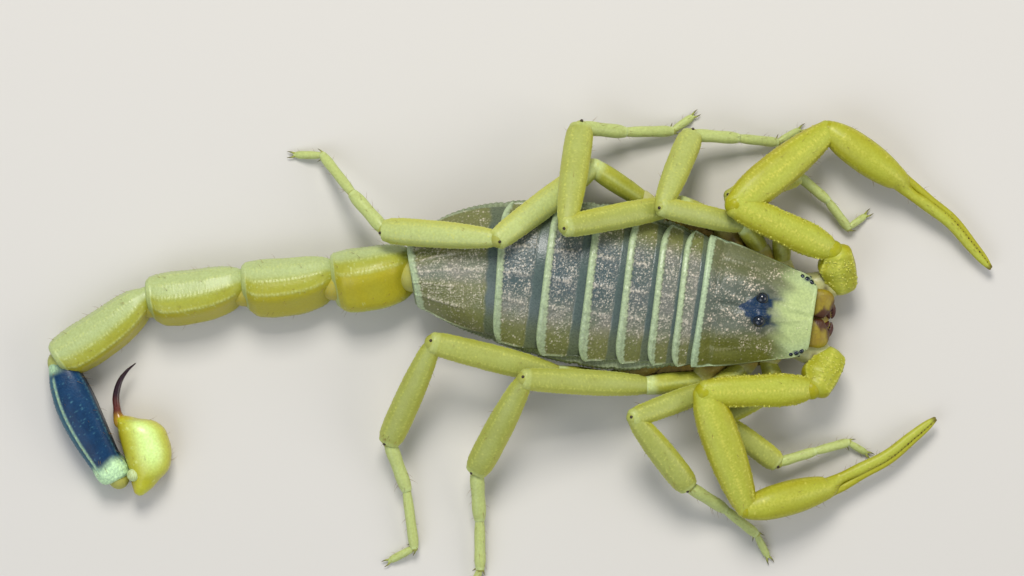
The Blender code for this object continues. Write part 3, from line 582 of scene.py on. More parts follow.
class Paint:
    """A material whose node tree is being built."""

    def __init__(self, name: str) -> None:
        """Starts an empty tree, with the piece's own coordinates in metres."""
        self.material = bpy.data.materials.new(name)
        self.material.use_nodes = True
        self.tree = self.material.node_tree
        self.tree.nodes.clear()
        self.place = self.node("TexCoord").outputs["Object"]

    def node(self, kind: str, settings: dict | None = None,
             inputs: dict[str | int, Source] | None = None) -> bpy.types.Node:
        """Adds a node.

        Args:
            kind: The node's type, without ShaderNode.
            settings: Properties that are set first.
            inputs: Values or links of its sockets, by name or number.

        Returns:
            The node.
        """
        made = self.tree.nodes.new("ShaderNode" + kind)
        for key, value in (settings or {}).items():
            setattr(made, key, value)
        for key, value in (inputs or {}).items():
            self.feed(made.inputs[key], value)
        return made

    def feed(self, socket: Socket, value: Source) -> None:
        """Links a value to a socket, or sets the socket's own number or colour."""
        if isinstance(value, Value):
            value = value.socket
        if isinstance(value, Socket):
            self.tree.links.new(value, socket)
        elif isinstance(value, tuple) and len(value) == 3 and socket.type == "RGBA":
            socket.default_value = (*value, 1.0)
        else:
            socket.default_value = value

    def maths(self, operation: str, *values: Source) -> Value:
        """A Math node on the values."""
        return Value(self, self.node("Math", {"operation": operation}, dict(enumerate(values))).outputs[0])

    def mark(self, mark: Mark) -> Value:
        """A mark of the surface."""
        return Value(self, self.node("Attribute", {"attribute_name": mark.value}).outputs["Fac"])

    def noise(self, size: float, detail: float = 2.0, stretch: Point = (1.0, 1.0, 1.0)) -> Value:
        """Cloudy noise from 0 to 1 whose features are about a size in millimetres."""
        where = self.node("Mapping", {}, {"Vector": self.place, "Scale": stretch}).outputs["Vector"]
        made = self.node("TexNoise", {}, {"Vector": where, "Scale": 1 / (size * MM), "Detail": detail})
        return Value(self, made.outputs["Fac"])

    def cells(self, size: float, feature: str = "F1") -> Value:
        """Distance within cells of about a size in millimetres."""
        made = self.node("TexVoronoi", {"feature": feature}, {"Vector": self.place, "Scale": 1 / (size * MM)})
        return Value(self, made.outputs["Distance"])

    def mix(self, amount: Source, first: Source, second: Source, blend: str = "MIX") -> Socket:
        """A colour between two."""
        made = self.node("Mix", {"data_type": "RGBA", "blend_type": blend, "clamp_factor": True},
                         {0: amount, 6: first, 7: second})
        return made.outputs[2]

    def bump(self, height: Source, depth: float) -> Socket:
        """A bump whose full height is a depth in millimetres."""
        made = self.node("Bump", {}, {"Height": height, "Distance": depth * MM, "Strength": 1.0})
        return made.outputs["Normal"]

    def shade(self, inputs: dict[str, Source]) -> bpy.types.Material:
        """Ends the tree in a Principled shader with these inputs."""
        shader = self.node("BsdfPrincipled", {}, inputs)
        self.node("OutputMaterial", {}, {"Surface": shader.outputs["BSDF"]})
        return self.material


@dataclass(frozen=True)
class Cuticle:
    """A shell finish.

    The ground drifts between two colours in soft clouds; the marks then bring in the other colours, and fine
    flecks, pits and bead tops give it grain, gloss and bump.
    """

    name: str
    ground: Colour
    drift: Colour
    pale: Colour
    warm: Colour
    bead: Colour
    dark: Colour = (0.03, 0.018, 0.008)
    deep: Colour = (0.035, 0.062, 0.078)
    smooth: Colour = (0.085, 0.12, 0.115)
    roughness: float = 0.45
    coat: float = 0.15
    cloud: float = 2.4
    fleck: float = 0.22
    pit: float = 0.16
    depth: float = 0.03
    fleck_share: float = 0.28
    glow: float = 0.0
    shine: float = 0.3

    def make(self) -> bpy.types.Material:
        """The material."""
        paint = Paint(self.name)
        cloud, fleck = paint.noise(self.cloud, 3.0), paint.noise(self.fleck, 2.0)
        pits = paint.cells(self.pit)
        colour = paint.mix(cloud.between(0.34, 0.66), self.ground, self.drift)
        deep, bead = paint.mark(DEEP), paint.mark(BEAD)
        smooth, pale = paint.mark(SMOOTH), paint.mark(PALE)
        colour = paint.mix(deep * (0.55 + 0.7 * fleck), colour, self.deep)
        colour = paint.mix(smooth, colour, self.smooth)
        colour = paint.mix(paint.mark(WARM) * (0.72 + 0.4 * cloud), colour, self.warm)
        colour = paint.mix(pale * (0.7 + 0.5 * fleck), colour, self.pale)
        colour = paint.mix(bead * fleck.between(0.32, 0.62), colour, self.bead)
        colour = paint.mix(self.fleck_share, colour, paint.mix(fleck.between(0.3, 0.7), (0.55, 0.57, 0.6),
                                                               (1.3, 1.28, 1.2)), "MULTIPLY")
        colour = paint.mix(paint.mark(DARK), colour, self.dark)
        rough = self.roughness + 0.22 * (fleck - 0.5) - 0.1 * smooth - 0.08 * bead
        height = 0.5 * fleck + 0.5 * pits + 0.35 * paint.noise(self.fleck * 3.1, 2.0)
        return paint.shade({"Base Color": colour, "Roughness": rough, "Coat Weight": self.coat,
                            "Coat Roughness": 0.22, "Normal": paint.bump(height, self.depth),
                            "Subsurface Weight": self.glow, "Subsurface Radius": (0.6, 0.5, 0.2),
                            "Subsurface Scale": 0.9 * MM, "Specular IOR Level": self.shine})


@dataclass(frozen=True)
class JawShell(Cuticle):
    """The chelicerae's finish: amber with a brown net over it, mahogany tips, and painted shade between the
    hands.
    """

    net: Colour = (0.055, 0.02, 0.006)
    mesh_size: float = 0.5

    def make(self) -> bpy.types.Material:
        """The material."""
        paint = Paint(self.name)
        fleck, cloud = paint.noise(self.fleck, 2.0), paint.noise(self.cloud, 2.0)
        lines = 1 - paint.cells(self.mesh_size, "DISTANCE_TO_EDGE").between(0.02, 0.2)
        colour = paint.mix(cloud.between(0.35, 0.65), self.ground, self.drift)
        colour = paint.mix(paint.mark(PALE), colour, self.pale)
        colour = paint.mix(lines * (0.05 + 0.2 * cloud), colour, self.net)
        colour = paint.mix(paint.mark(DARK), colour, self.dark)
        return paint.shade({"Base Color": colour, "Roughness": self.roughness + 0.2 * (fleck - 0.5),
                            "Coat Weight": self.coat, "Coat Roughness": 0.15,
                            "Normal": paint.bump(fleck + 0.2 * lines, self.depth)})


@dataclass(frozen=True)
class SoftSkin(Cuticle):
    """The folded membrane between plates: matt, with fine creases."""

    def make(self) -> bpy.types.Material:
        """The material."""
        paint = Paint(self.name)
        fleck, cloud = paint.noise(self.fleck, 3.0), paint.noise(self.cloud, 3.0)
        crease = paint.noise(0.3, 2.0, (1.0, 3.5, 1.0))
        colour = paint.mix(cloud.between(0.3, 0.7), self.ground, self.drift)
        colour = paint.mix(paint.mark(WARM), colour, self.warm)
        colour = paint.mix(paint.mark(PALE) * (0.6 + 0.6 * fleck), colour, self.pale)
        colour = paint.mix(crease.between(0.42, 0.62) * 0.5, colour, self.deep)
        colour = paint.mix(paint.mark(DARK), colour, self.dark)
        return paint.shade({"Base Color": colour, "Roughness": self.roughness + 0.2 * (fleck - 0.5),
                            "Coat Weight": self.coat, "Coat Roughness": 0.4,
                            "Normal": paint.bump(crease + 0.4 * fleck, self.depth)})


@dataclass(frozen=True)
class EyeGlass:
    """The eyes' finish: blue-black and polished, with a faint haze."""

    name: str = "eye_glass"

    def make(self) -> bpy.types.Material:
        """The material."""
        paint = Paint(self.name)
        haze = paint.noise(0.25, 2.0)
        colour = paint.mix(haze.between(0.4, 0.7), (0.004, 0.007, 0.014), (0.012, 0.024, 0.045))
        return paint.shade({"Base Color": colour, "Roughness": 0.08 + 0.06 * haze, "Coat Weight": 0.2,
                            "Coat Roughness": 0.05, "Normal": paint.bump(haze, 0.004)})


class Finish(Enum):
    """The finishes, each with its maker."""

    # the shield and back plates' bead colour lightens the tops of their granules: partly their own light
    # colour, partly painted glints
    SHIELD = Cuticle("shield_shell", (0.115, 0.13, 0.085), (0.15, 0.165, 0.12), (0.42, 0.54, 0.33),
                     (0.13, 0.137, 0.010), (0.80, 0.68, 0.54), smooth=(0.445, 0.54, 0.225),
                     deep=(0.04, 0.07, 0.068), dark=(0.006, 0.030, 0.078), roughness=0.42, coat=0.2,
                     depth=0.03)
    # the back plates' dark colour paints the shadow at each plate's front edge
    BACK = Cuticle("back_shell", (0.165, 0.185, 0.12), (0.235, 0.225, 0.175), (0.40, 0.50, 0.29),
                   (0.155, 0.165, 0.03), (0.68, 0.61, 0.50), dark=(0.01, 0.015, 0.02),
                   smooth=(0.07, 0.105, 0.098), deep=(0.03, 0.068, 0.088), roughness=0.38, coat=0.3,
                   depth=0.03)
    LIMB = Cuticle("limb_shell", (0.34, 0.375, 0.075), (0.315, 0.34, 0.055), (0.58, 0.69, 0.30),
                   (0.50, 0.49, 0.018), (0.52, 0.54, 0.12), dark=(0.035, 0.022, 0.01), roughness=0.42,
                   coat=0.12, fleck_share=0.12, depth=0.02, glow=0.12)
    PALP = Cuticle("palp_shell", (0.352, 0.36, 0.012), (0.335, 0.32, 0.008), (0.47, 0.54, 0.10),
                   (0.41, 0.345, 0.004), (0.58, 0.56, 0.10), dark=(0.06, 0.022, 0.006), roughness=0.42,
                   coat=0.08, fleck_share=0.12, depth=0.02, glow=0.12, shine=0.2)
    TAIL = Cuticle("tail_shell", (0.34, 0.385, 0.055), (0.32, 0.35, 0.045), (0.46, 0.56, 0.28),
                   (0.44, 0.37, 0.006), (0.50, 0.56, 0.20), dark=(0.05, 0.03, 0.01), roughness=0.42,
                   coat=0.15, fleck_share=0.12, depth=0.024, glow=0.1)
    DARK_TAIL = Cuticle("dark_tail_shell", (0.003, 0.025, 0.074), (0.005, 0.042, 0.115), (0.56, 0.82, 0.46),
                        (0.010, 0.11, 0.17), (0.06, 0.18, 0.24), dark=(0.003, 0.008, 0.016), roughness=0.42,
                        coat=0.12, fleck_share=0.35, depth=0.03, shine=0.2)
    # the bulb's pale colour is the colour of its painted highlight
    BULB = Cuticle("bulb_shell", (0.50, 0.49, 0.022), (0.52, 0.53, 0.035), (0.72, 0.98, 0.36),
                   (0.46, 0.36, 0.008), (0.66, 0.74, 0.24), dark=(0.07, 0.02, 0.012), roughness=0.34,
                   coat=0.3, fleck_share=0.14, depth=0.014, glow=0.15)
    STING = Cuticle("sting_shell", (0.10, 0.02, 0.015), (0.15, 0.035, 0.018), (0.42, 0.32, 0.05),
                    (0.42, 0.24, 0.02), (0.14, 0.04, 0.03), dark=(0.008, 0.004, 0.012), roughness=0.24,
                    coat=0.5, fleck_share=0.15, depth=0.01)
    # the belly's warm colour is darkened as painted shade, for the hips and skin that lie under the
    # carapace's edge
    BELLY = Cuticle("belly_shell", (0.44, 0.43, 0.13), (0.40, 0.37, 0.08), (0.52, 0.54, 0.26),
                    (0.35, 0.22, 0.03), (0.52, 0.48, 0.18), dark=(0.06, 0.03, 0.01), roughness=0.4, coat=0.15,
                    fleck_share=0.16, depth=0.02)
    JAW = JawShell("jaw_shell", (0.30, 0.235, 0.007), (0.25, 0.175, 0.006), (0.42, 0.42, 0.05),
                   (0.3, 0.2, 0.03), (0.4, 0.3, 0.1), dark=(0.05, 0.008, 0.0015), roughness=0.5, coat=0.05,
                   cloud=1.2, depth=0.02)
    MEMBRANE = SoftSkin("soft_membrane", (0.20, 0.24, 0.125), (0.165, 0.20, 0.095), (0.38, 0.47, 0.29),
                        (0.42, 0.38, 0.10), (0.3, 0.3, 0.2), dark=(0.04, 0.03, 0.015),
                        deep=(0.11, 0.135, 0.07), roughness=0.55, coat=0.08, depth=0.05)
    JOINT = SoftSkin("joint_membrane", (0.36, 0.40, 0.075), (0.34, 0.36, 0.055), (0.55, 0.68, 0.34),
                     (0.42, 0.34, 0.015), (0.4, 0.4, 0.2), dark=(0.03, 0.018, 0.008), deep=(0.34, 0.35, 0.07),
                     roughness=0.5, coat=0.1, depth=0.03)
    BRISTLE = Cuticle("bristle_horn", (0.30, 0.19, 0.05), (0.22, 0.12, 0.03), (0.4, 0.3, 0.1),
                      (0.3, 0.2, 0.05), (0.3, 0.2, 0.05), dark=(0.05, 0.02, 0.01), roughness=0.35, coat=0.2,
                      cloud=4.0, depth=0.004)
    EYE = EyeGlass()


# ---- pieces

def linked(name: str, data: bpy.types.ID, columns: Rows = ()) -> bpy.types.Object:
    """A new object in the scene.

    Args:
        name: Its name.
        data: Its mesh, camera or light.
        columns: Its X, Y and Z axes and its place; without them it stays at the origin.

    Returns:
        The object.
    """
    made = bpy.data.objects.new(name, data)
    if columns:
        rows = [tuple(float(column[i]) for column in columns) for i in range(3)]
        made.matrix_world = Matrix(rows + [(0.0, 0.0, 0.0, 1.0)])
    bpy.context.scene.collection.objects.link(made)
    return made


@dataclass(frozen=True)
class Placement:
    """Where the working frame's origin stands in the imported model, in metres."""

    shift: Point

    @classmethod
    def from_carapace(cls) -> "Placement":
        """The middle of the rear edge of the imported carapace, on the floor."""
        low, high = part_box("carapace")
        return cls(((low.x + high.x) / 2, high.y, 0.0))

    def metres(self, points: Array) -> Array:
        """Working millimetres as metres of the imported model."""
        return np.asarray(points) * MM + np.array(self.shift)


@dataclass
class Workshop:
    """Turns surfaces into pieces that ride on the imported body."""

    placement: Placement
    materials: dict[Finish, bpy.types.Material] = field(default_factory=dict)
    triangles: int = 0

    def material(self, finish: Finish) -> bpy.types.Material:
        """The finish's material, made once."""
        if finish not in self.materials:
            self.materials[finish] = finish.value.make()
        return self.materials[finish]

    def mesh(self, name: str, surface: Surface) -> bpy.types.Mesh:
        """A mesh of the surface, with its marks as attributes."""
        mesh = bpy.data.meshes.new(name)
        corners = np.concatenate((surface.tris.ravel(), surface.quads.ravel())).astype(np.int32)
        tri_starts = 3 * np.arange(len(surface.tris))
        quad_starts = 3 * len(surface.tris) + 4 * np.arange(len(surface.quads))
        mesh.vertices.add(len(surface.points))
        mesh.vertices.foreach_set("co", self.placement.metres(surface.points).astype(np.float32).ravel())
        mesh.loops.add(len(corners))
        mesh.loops.foreach_set("vertex_index", corners)
        mesh.polygons.add(len(tri_starts) + len(quad_starts))
        mesh.polygons.foreach_set("loop_start", np.concatenate((tri_starts, quad_starts)).astype(np.int32))
        mesh.update(calc_edges=True)
        mesh.shade_smooth()
        for mark, values in surface.marks.items():
            attribute = mesh.attributes.new(mark.value, "FLOAT", "POINT")
            attribute.data.foreach_set("value", np.clip(values, 0.0, 1.0).astype(np.float32))
        self.triangles += len(surface.tris) + 2 * len(surface.quads)
        return mesh

    def piece(self, name: str, surface: Surface | Sequence[Surface], finish: Finish, slot: str,
              *nodes: str) -> bpy.types.Object:
        """Makes one piece.

        Args:
            name: The piece's name.
            surface: Its skin, or several that it is made of.
            finish: Its finish.
            slot: Name of a material slot; not used.
            *nodes: CAD nodes that it stands for.

        Returns:
            The piece's object.
        """
        if not isinstance(surface, Surface):
            surface = Surface.joined(surface)
        made = linked(name, self.mesh(name, surface))
        made.data.materials.append(self.material(finish))
        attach(made, "root")
        if nodes:
            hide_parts(*nodes)
        LOG.info("%s: %d points, stands for %s", name, len(surface.points), ", ".join(nodes) or "no node")
        return made


# ---- trunk

def plate_skin(top: Array, lift: Array, marks: dict[Mark, Array], thickness: float,
               facing: int = 1) -> Surface:
    """A thin closed plate with rounded front and rear lips.

    The outer face is top + lift * normal, the inner one top - thickness * normal, and each lip is half a
    circle whose diameter is the thickness: middle + cos(a) * half * normal + sin(a) * half * ahead.

    Args:
        top: Points of the outer face before its relief, rows from front to rear.
        lift: Height of the relief at each point.
        marks: Values of the marks at each point.
        thickness: Thickness at the middle; it thins towards the two sides.
        facing: 1 where the outer face looks up, -1 where it looks down.

    Returns:
        The plate's skin.
    """
    along, across = np.gradient(top, axis=0), np.gradient(top, axis=1)
    normal = unit(np.cross(along, across))
    normal *= np.sign((normal[..., 2:3] * facing).mean()) or 1.0
    edge = np.abs(np.linspace(-1, 1, top.shape[1])) ** EDGE_POWER
    half = (thickness / 2 * (1 - EDGE_THINNING * edge))[:, None]
    outer = top + normal * lift[..., None]
    inner_rows = np.linspace(top.shape[0] - 1, 0, INNER_ROWS).astype(int)
    inner = top[inner_rows] - 2 * half * normal[inner_rows]
    lips = []
    for row, way in ((-1, 1.0), (0, -1.0)):
        middle, reach = (outer[row] + top[row] - 2 * half * normal[row]) / 2, way * unit(along[row])
        tall = np.linalg.norm(outer[row] - middle, axis=-1, keepdims=True)
        turns = np.linspace(0, math.pi, LIP_ROWS + 2)[1:-1]
        lip = np.stack([middle + math.cos(a) * tall * normal[row] + math.sin(a) * half * reach
                        for a in turns])
        lips.append(lip if row == -1 else lip[::-1])
    loop = np.concatenate((outer, lips[0], inner, lips[1])).transpose(1, 0, 2)
    values = {}
    for mark, grid in marks.items():
        grid = np.broadcast_to(grid, lift.shape)
        rear, front = (np.repeat(row, LIP_ROWS, axis=0) for row in (grid[-1:], grid[:1]))
        values[mark] = np.concatenate((grid, rear, np.zeros((INNER_ROWS, top.shape[1])), front)).T
    return closed_grid(loop, values)


@dataclass(frozen=True)
class TrunkShape:
    """Sizes of the trunk along its middle line, as (place behind the carapace's rear edge, value) keys."""

    bend_start: float = 17.0
    bend_rate: float = 0.0155
    crown_power: float = 2.2
    plate_half_width: Keys = ((-10.2, 3.0), (-9.5, 3.6), (-7.9, 4.15), (-5.5, 4.85), (-2.6, 5.6), (0.0, 6.05),
                              (4.2, 6.45), (10.5, 6.95), (14.4, 6.9), (18.7, 6.2), (23.4, 4.8), (26.6, 2.9))
    flank_half_width: Keys = ((-10.2, 2.6), (-7.9, 3.6), (-5.5, 4.3), (-2.6, 5.0), (0.0, 5.9), (3.0, 6.6),
                              (6.0, 7.3), (10.5, 7.45), (14.4, 7.15), (18.7, 6.4), (23.4, 4.9), (26.6, 2.9))
    belly_half_width: Keys = ((-10.2, 1.8), (0.0, 4.4), (6.0, 5.1), (10.5, 5.4), (14.4, 5.3), (18.7, 4.7),
                              (23.4, 3.7), (26.6, 2.1))
    ridge_height: Keys = ((-10.2, 5.9), (-8.0, 6.5), (-5.3, 7.0), (0.0, 7.25), (7.0, 8.0), (12.0, 8.3),
                          (18.7, 7.9), (23.4, 6.9), (26.6, 6.05))
    margin_height: Keys = ((-10.2, 5.2), (-5.3, 4.9), (0.0, 4.95), (7.0, 5.35), (12.0, 5.45), (18.7, 5.0),
                           (23.4, 4.35), (26.6, 3.9))
    belly_height: Keys = ((-10.2, 2.3), (-6.0, 1.75), (0.0, 1.5), (6.4, 1.45), (8.2, 1.3), (12.0, 0.95),
                          (18.7, 0.9), (26.6, 1.2))

    def point(self, place: Array, lateral: Array, height: Array) -> Array:
        """Points beside the trunk's middle line, which bends as x = -rate * past^2 past the bend's start."""
        past = np.maximum(np.asarray(place, dtype=float) - self.bend_start, 0.0)
        turn = np.arctan(2 * self.bend_rate * past)
        x = -self.bend_rate * past ** 2 + lateral * np.cos(turn)
        y = place + lateral * np.sin(turn)
        return np.stack(np.broadcast_arrays(x, y, height), axis=-1)

    def back_height(self, place: Array, share: Array) -> Array:
        """Height of the back: ridge - (ridge - margin) * |share|^power."""
        ridge, margin = smooth_curve(self.ridge_height, place), smooth_curve(self.margin_height, place)
        return ridge - (ridge - margin) * np.abs(share) ** self.crown_power

    def belly(self, place: Array, share: Array) -> Array:
        """Height of the belly, which turns up a little towards its sides."""
        low = smooth_curve(self.belly_height, place)
        return low + 0.5 * rise(0.66, 1.05, np.abs(share))


@dataclass
class Shield:
    """The carapace, with its tubercle, ridges, furrows and rims."""

    shape: TrunkShape
    length: float = 10.2
    rows: int = 190
    columns: int = 200
    thickness: float = 0.45
    eye_place: Pair = (1.0, -5.3)
    tubercle_height: float = 0.7
    tubercle_flat: float = 0.45
    tubercle_spread: Pair = (0.35, 0.9)
    rim_width: float = 0.28
    lyre: tuple[Keys, ...] = (((-4.2, 0.5), (-2.4, 0.95), (-0.6, 1.75)),
                              ((-6.9, 1.5), (-5.4, 2.6), (-3.4, 2.75), (-1.4, 2.6)),
                              ((-9.6, 0.35), (-8.0, 0.62), (-6.4, 1.0)),
                              ((-5.0, 3.5), (-2.8, 4.1), (-1.0, 4.35)))
    crowds: Rows = ((0.6, -2.4, 0.7, 1.4), (1.7, -0.95, 1.7, 0.5), (2.6, -2.3, 0.9, 0.7),
                    (3.0, -4.2, 1.0, 0.5), (1.9, -3.9, 0.6, 0.9), (3.4, -6.2, 0.6, 0.9))

    def tubercle_patch(self, side: Array, ahead: Array, wobble: Array) -> Array:
        """The dark patch round the eyes: a wedge that points to the rear, with a notch in its front edge.

        Args:
            side: Distance from the middle line.
            ahead: Distance behind the eyes, in millimetres (negative in front of them).
            wobble: Unevenness of its edge.

        Returns:
            1 in the patch and 0 outside it, with soft edges.
        """
        reach = np.where(ahead > 0, 1.68 - 0.82 * ahead, 1.68 + 0.4 * ahead)
        patch = 1 - rise(-0.14, 0.12, side - reach + wobble)
        patch = patch * rise(-1.3, -0.9, ahead)
        return patch * (1 - 0.9 * rise(0.45, 0.8, -ahead) * (1 - rise(0.15, 0.45, side)))

    def furrows(self, lateral: Array, side: Array, place: Array) -> Array:
        """The large relief, as a sum of humps and hollows.

        Args:
            lateral: Distance to the left of the middle line.
            side: Its size without its sign.
            place: Distance behind the rear edge (negative).

        Returns:
            The lift of the plate in millimetres.
        """
        eye_y = self.eye_place[1]
        lift = -0.14 * hump(lateral, 0, 0.16) * hump(place, eye_y, 0.9)
        lift -= 0.2 * hump(lateral, 0, 0.3) * rise(-4.3, -3.3, place) * rise(0.5, 1.6, -place)
        lift -= 0.10 * hump(lateral, 0, 0.30) * rise(6.6, 7.4, -place)
        lift -= 0.2 * hump(place, -1.05 - 0.012 * lateral ** 2, 0.3) * rise(0.5, 1.6, side)
        lift -= 0.3 * hump(side, 2.1 + 0.1 * place, 0.6) * hump(place, -6.3, 1.5)
        lift += (0.2 * hump(side, 2.3, 0.9) * hump(place, -3.2, 1.4)
                 - 0.15 * hump(side, 4.0, 0.5) * hump(place, -2.5, 1.6))
        return lift

    def lay_ridges(self, lift: Array, side: Array, place: Array, front: Array) -> Array:
        """Adds the beaded ridges, and the brows over the eyes, to the lift.

        Args:
            lift: The lift so far, which is changed.
            side: Distance from the middle line.
            place: Distance behind the rear edge (negative).
            front: 1 on the smooth front, where the beads are fainter.

        Returns:
            How strongly the ridges' beads show.
        """
        eye_x, eye_y = self.eye_place
        beads = np.zeros(lift.shape)
        for number, keys in enumerate(self.lyre):
            ridge = hump(side, smooth_curve(keys, place), 0.16)
            ridge *= (rise(keys[0][0] - 0.3, keys[0][0] + 0.2, place)
                      * rise(-keys[-1][0] - 0.1, -keys[-1][0] + 0.3, -place))
            row = ridge * (0.15 + 0.85 * bead_row(place + 0.3 * side, 0.3, 20 + number))
            lift += 0.06 * row
            beads = np.maximum(beads, 0.16 * row * (1 - 0.8 * front))
        brow = (hump(np.hypot(side - eye_x, place - eye_y), 0.52, 0.12)
                * rise(-0.25, 0.2, eye_x - side + 0.1))
        lift += 0.10 * brow
        return beads

    def crowding(self, side: Array, place: Array, wave: Array) -> Array:
        """How thickly the granules stand: an arc behind the eyes and a few heaps, broken up by a wave."""
        eye_y = self.eye_place[1]
        band = 1.2 * hump(np.hypot(side, place - eye_y), 1.9, 0.55) * rise(-0.6, 0.2, place - eye_y)
        for x, y, reach_x, reach_y in self.crowds:
            band = np.maximum(band, np.exp(-((side - x) / reach_x) ** 2 - ((place - y) / reach_y) ** 2))
        return band * (0.7 + 0.5 * wave)

    def dark_parts(self, lateral: Array, side: Array, place: Array) -> Array:
        """The dark patch round the eyes, with light granules on it, and the streaks and corners in front."""
        wobble = 0.08 * np.sin(6 * lateral + 4 * place) + 0.05 * np.sin(11 * place)
        dark = self.tubercle_patch(side, place - self.eye_place[1], wobble)
        dark = dark * (1 - 0.75 * granules(lateral, place, 0.13, 0.3, 8))
        streak = (hump(side, 1.1 + 0.12 * (-place - 6), 0.2) * rise(5.9, 6.4, -place)
                  * rise(-7.7, -6.6, place))
        corner = hump(side, 3.38, 0.3) * hump(place, -9.25, 0.5)
        return np.maximum(dark, np.maximum(0.55 * streak, 0.6 * rise(0.4, 0.8, corner)))

    def surface(self) -> Surface:
        """The carapace's skin."""
        share, along = np.meshgrid(np.linspace(-1, 1, self.columns), np.linspace(-1, 0, self.rows))
        place, outer = along * self.length, np.abs(share)
        lateral = share * smooth_curve(self.shape.plate_half_width, place)
        lateral = lateral * (1 - 0.05 * hump(place, -self.length, 0.35))
        side = np.abs(lateral)

        across = np.maximum(side - self.tubercle_flat, 0.0)
        tubercle = np.exp(-across ** 2 / self.tubercle_spread[0]
                          - (place - self.eye_place[1]) ** 2 / self.tubercle_spread[1])
        bow = 0.28 * (1 - share ** 2) * hump(place, -self.length, 0.9)
        height = self.shape.back_height(place, share)
        top = self.shape.point(place + bow * 0.4, lateral, height + self.tubercle_height * tubercle)

        wave = 0.5 * np.sin(2.1 * lateral + 0.8 * place) + 0.5 * np.sin(4.3 * lateral - 1.7 * place)
        front = rise(5.9, 8.6, -place + 0.45 * wave + 0.5 * hump(lateral, 0.0, 1.6) - 0.1 * side)
        ragged = 0.035 * np.sin(9 * lateral) + 0.03 * np.sin(23 * lateral + 2)
        rim = rise(-0.08, 0.08, place + self.rim_width + 0.2 * share ** 2 + ragged)
        margin = rise(0.972, 0.99, outer)
        lip = rise(self.length - 0.2, self.length - 0.1, -place)

        lift = self.furrows(lateral, side, place)
        beads = self.lay_ridges(lift, side, place, front)
        band = self.crowding(side, place, wave)
        crowd = 0.06 + 0.75 * np.clip(band, 0, 1)
        crowd = crowd * (1 - rim) * (1 - 0.6 * front) * (1 - margin)
        grit = granules(lateral, place, 0.2, crowd, 3)
        fine = granules(lateral, place, 0.12, 0.8 * crowd, 4)
        lift += 0.05 * grit + 0.02 * fine
        lift += 0.09 * rim + 0.04 * margin * (1 - rim) + 0.05 * lip
        lift += 0.05 * np.clip(band, 0, 1) * (1 - rim) * (1 - front)
        beads = np.maximum(beads, np.maximum(grit, 0.75 * fine) * (0.4 + 0.7 * np.clip(1.6 * band, 0, 1)))

        dark = self.dark_parts(lateral, side, place)
        # olive sides, stronger on the animal's right, away from the key lamp: partly the plate's own colour,
        # partly painted shade
        olive_and_shade = rise(0.3, 0.62, outer) * (1 - front) * (0.45 + 0.55 * rise(0.6, -2.0, lateral))
        warm_edge = 0.9 * rise(0.945, 0.965, outer) * rise(2.0, 4.0, -place)
        edge = np.maximum(0.75 * margin * (1 - warm_edge),
                          rim * (0.8 + 0.2 * rise(-0.16, -0.02, place)))
        blue = 0.5 * hump(lateral, 0.5, 2.3) * (1 - rise(5.4, 6.6, -place))
        marks = {PALE: np.maximum(edge, 0.35 * front * rise(0.5, 0.9, outer)),
                 SMOOTH: front,
                 WARM: np.maximum(0.9 * olive_and_shade * (1 - margin), 0.7 * warm_edge) * (1 - rim),
                 DARK: dark,
                 BEAD: beads * (1 - rim) * (1 - 0.6 * dark),
                 DEEP: blue * (1 - rim)}
        return plate_skin(top, lift, marks, self.thickness)


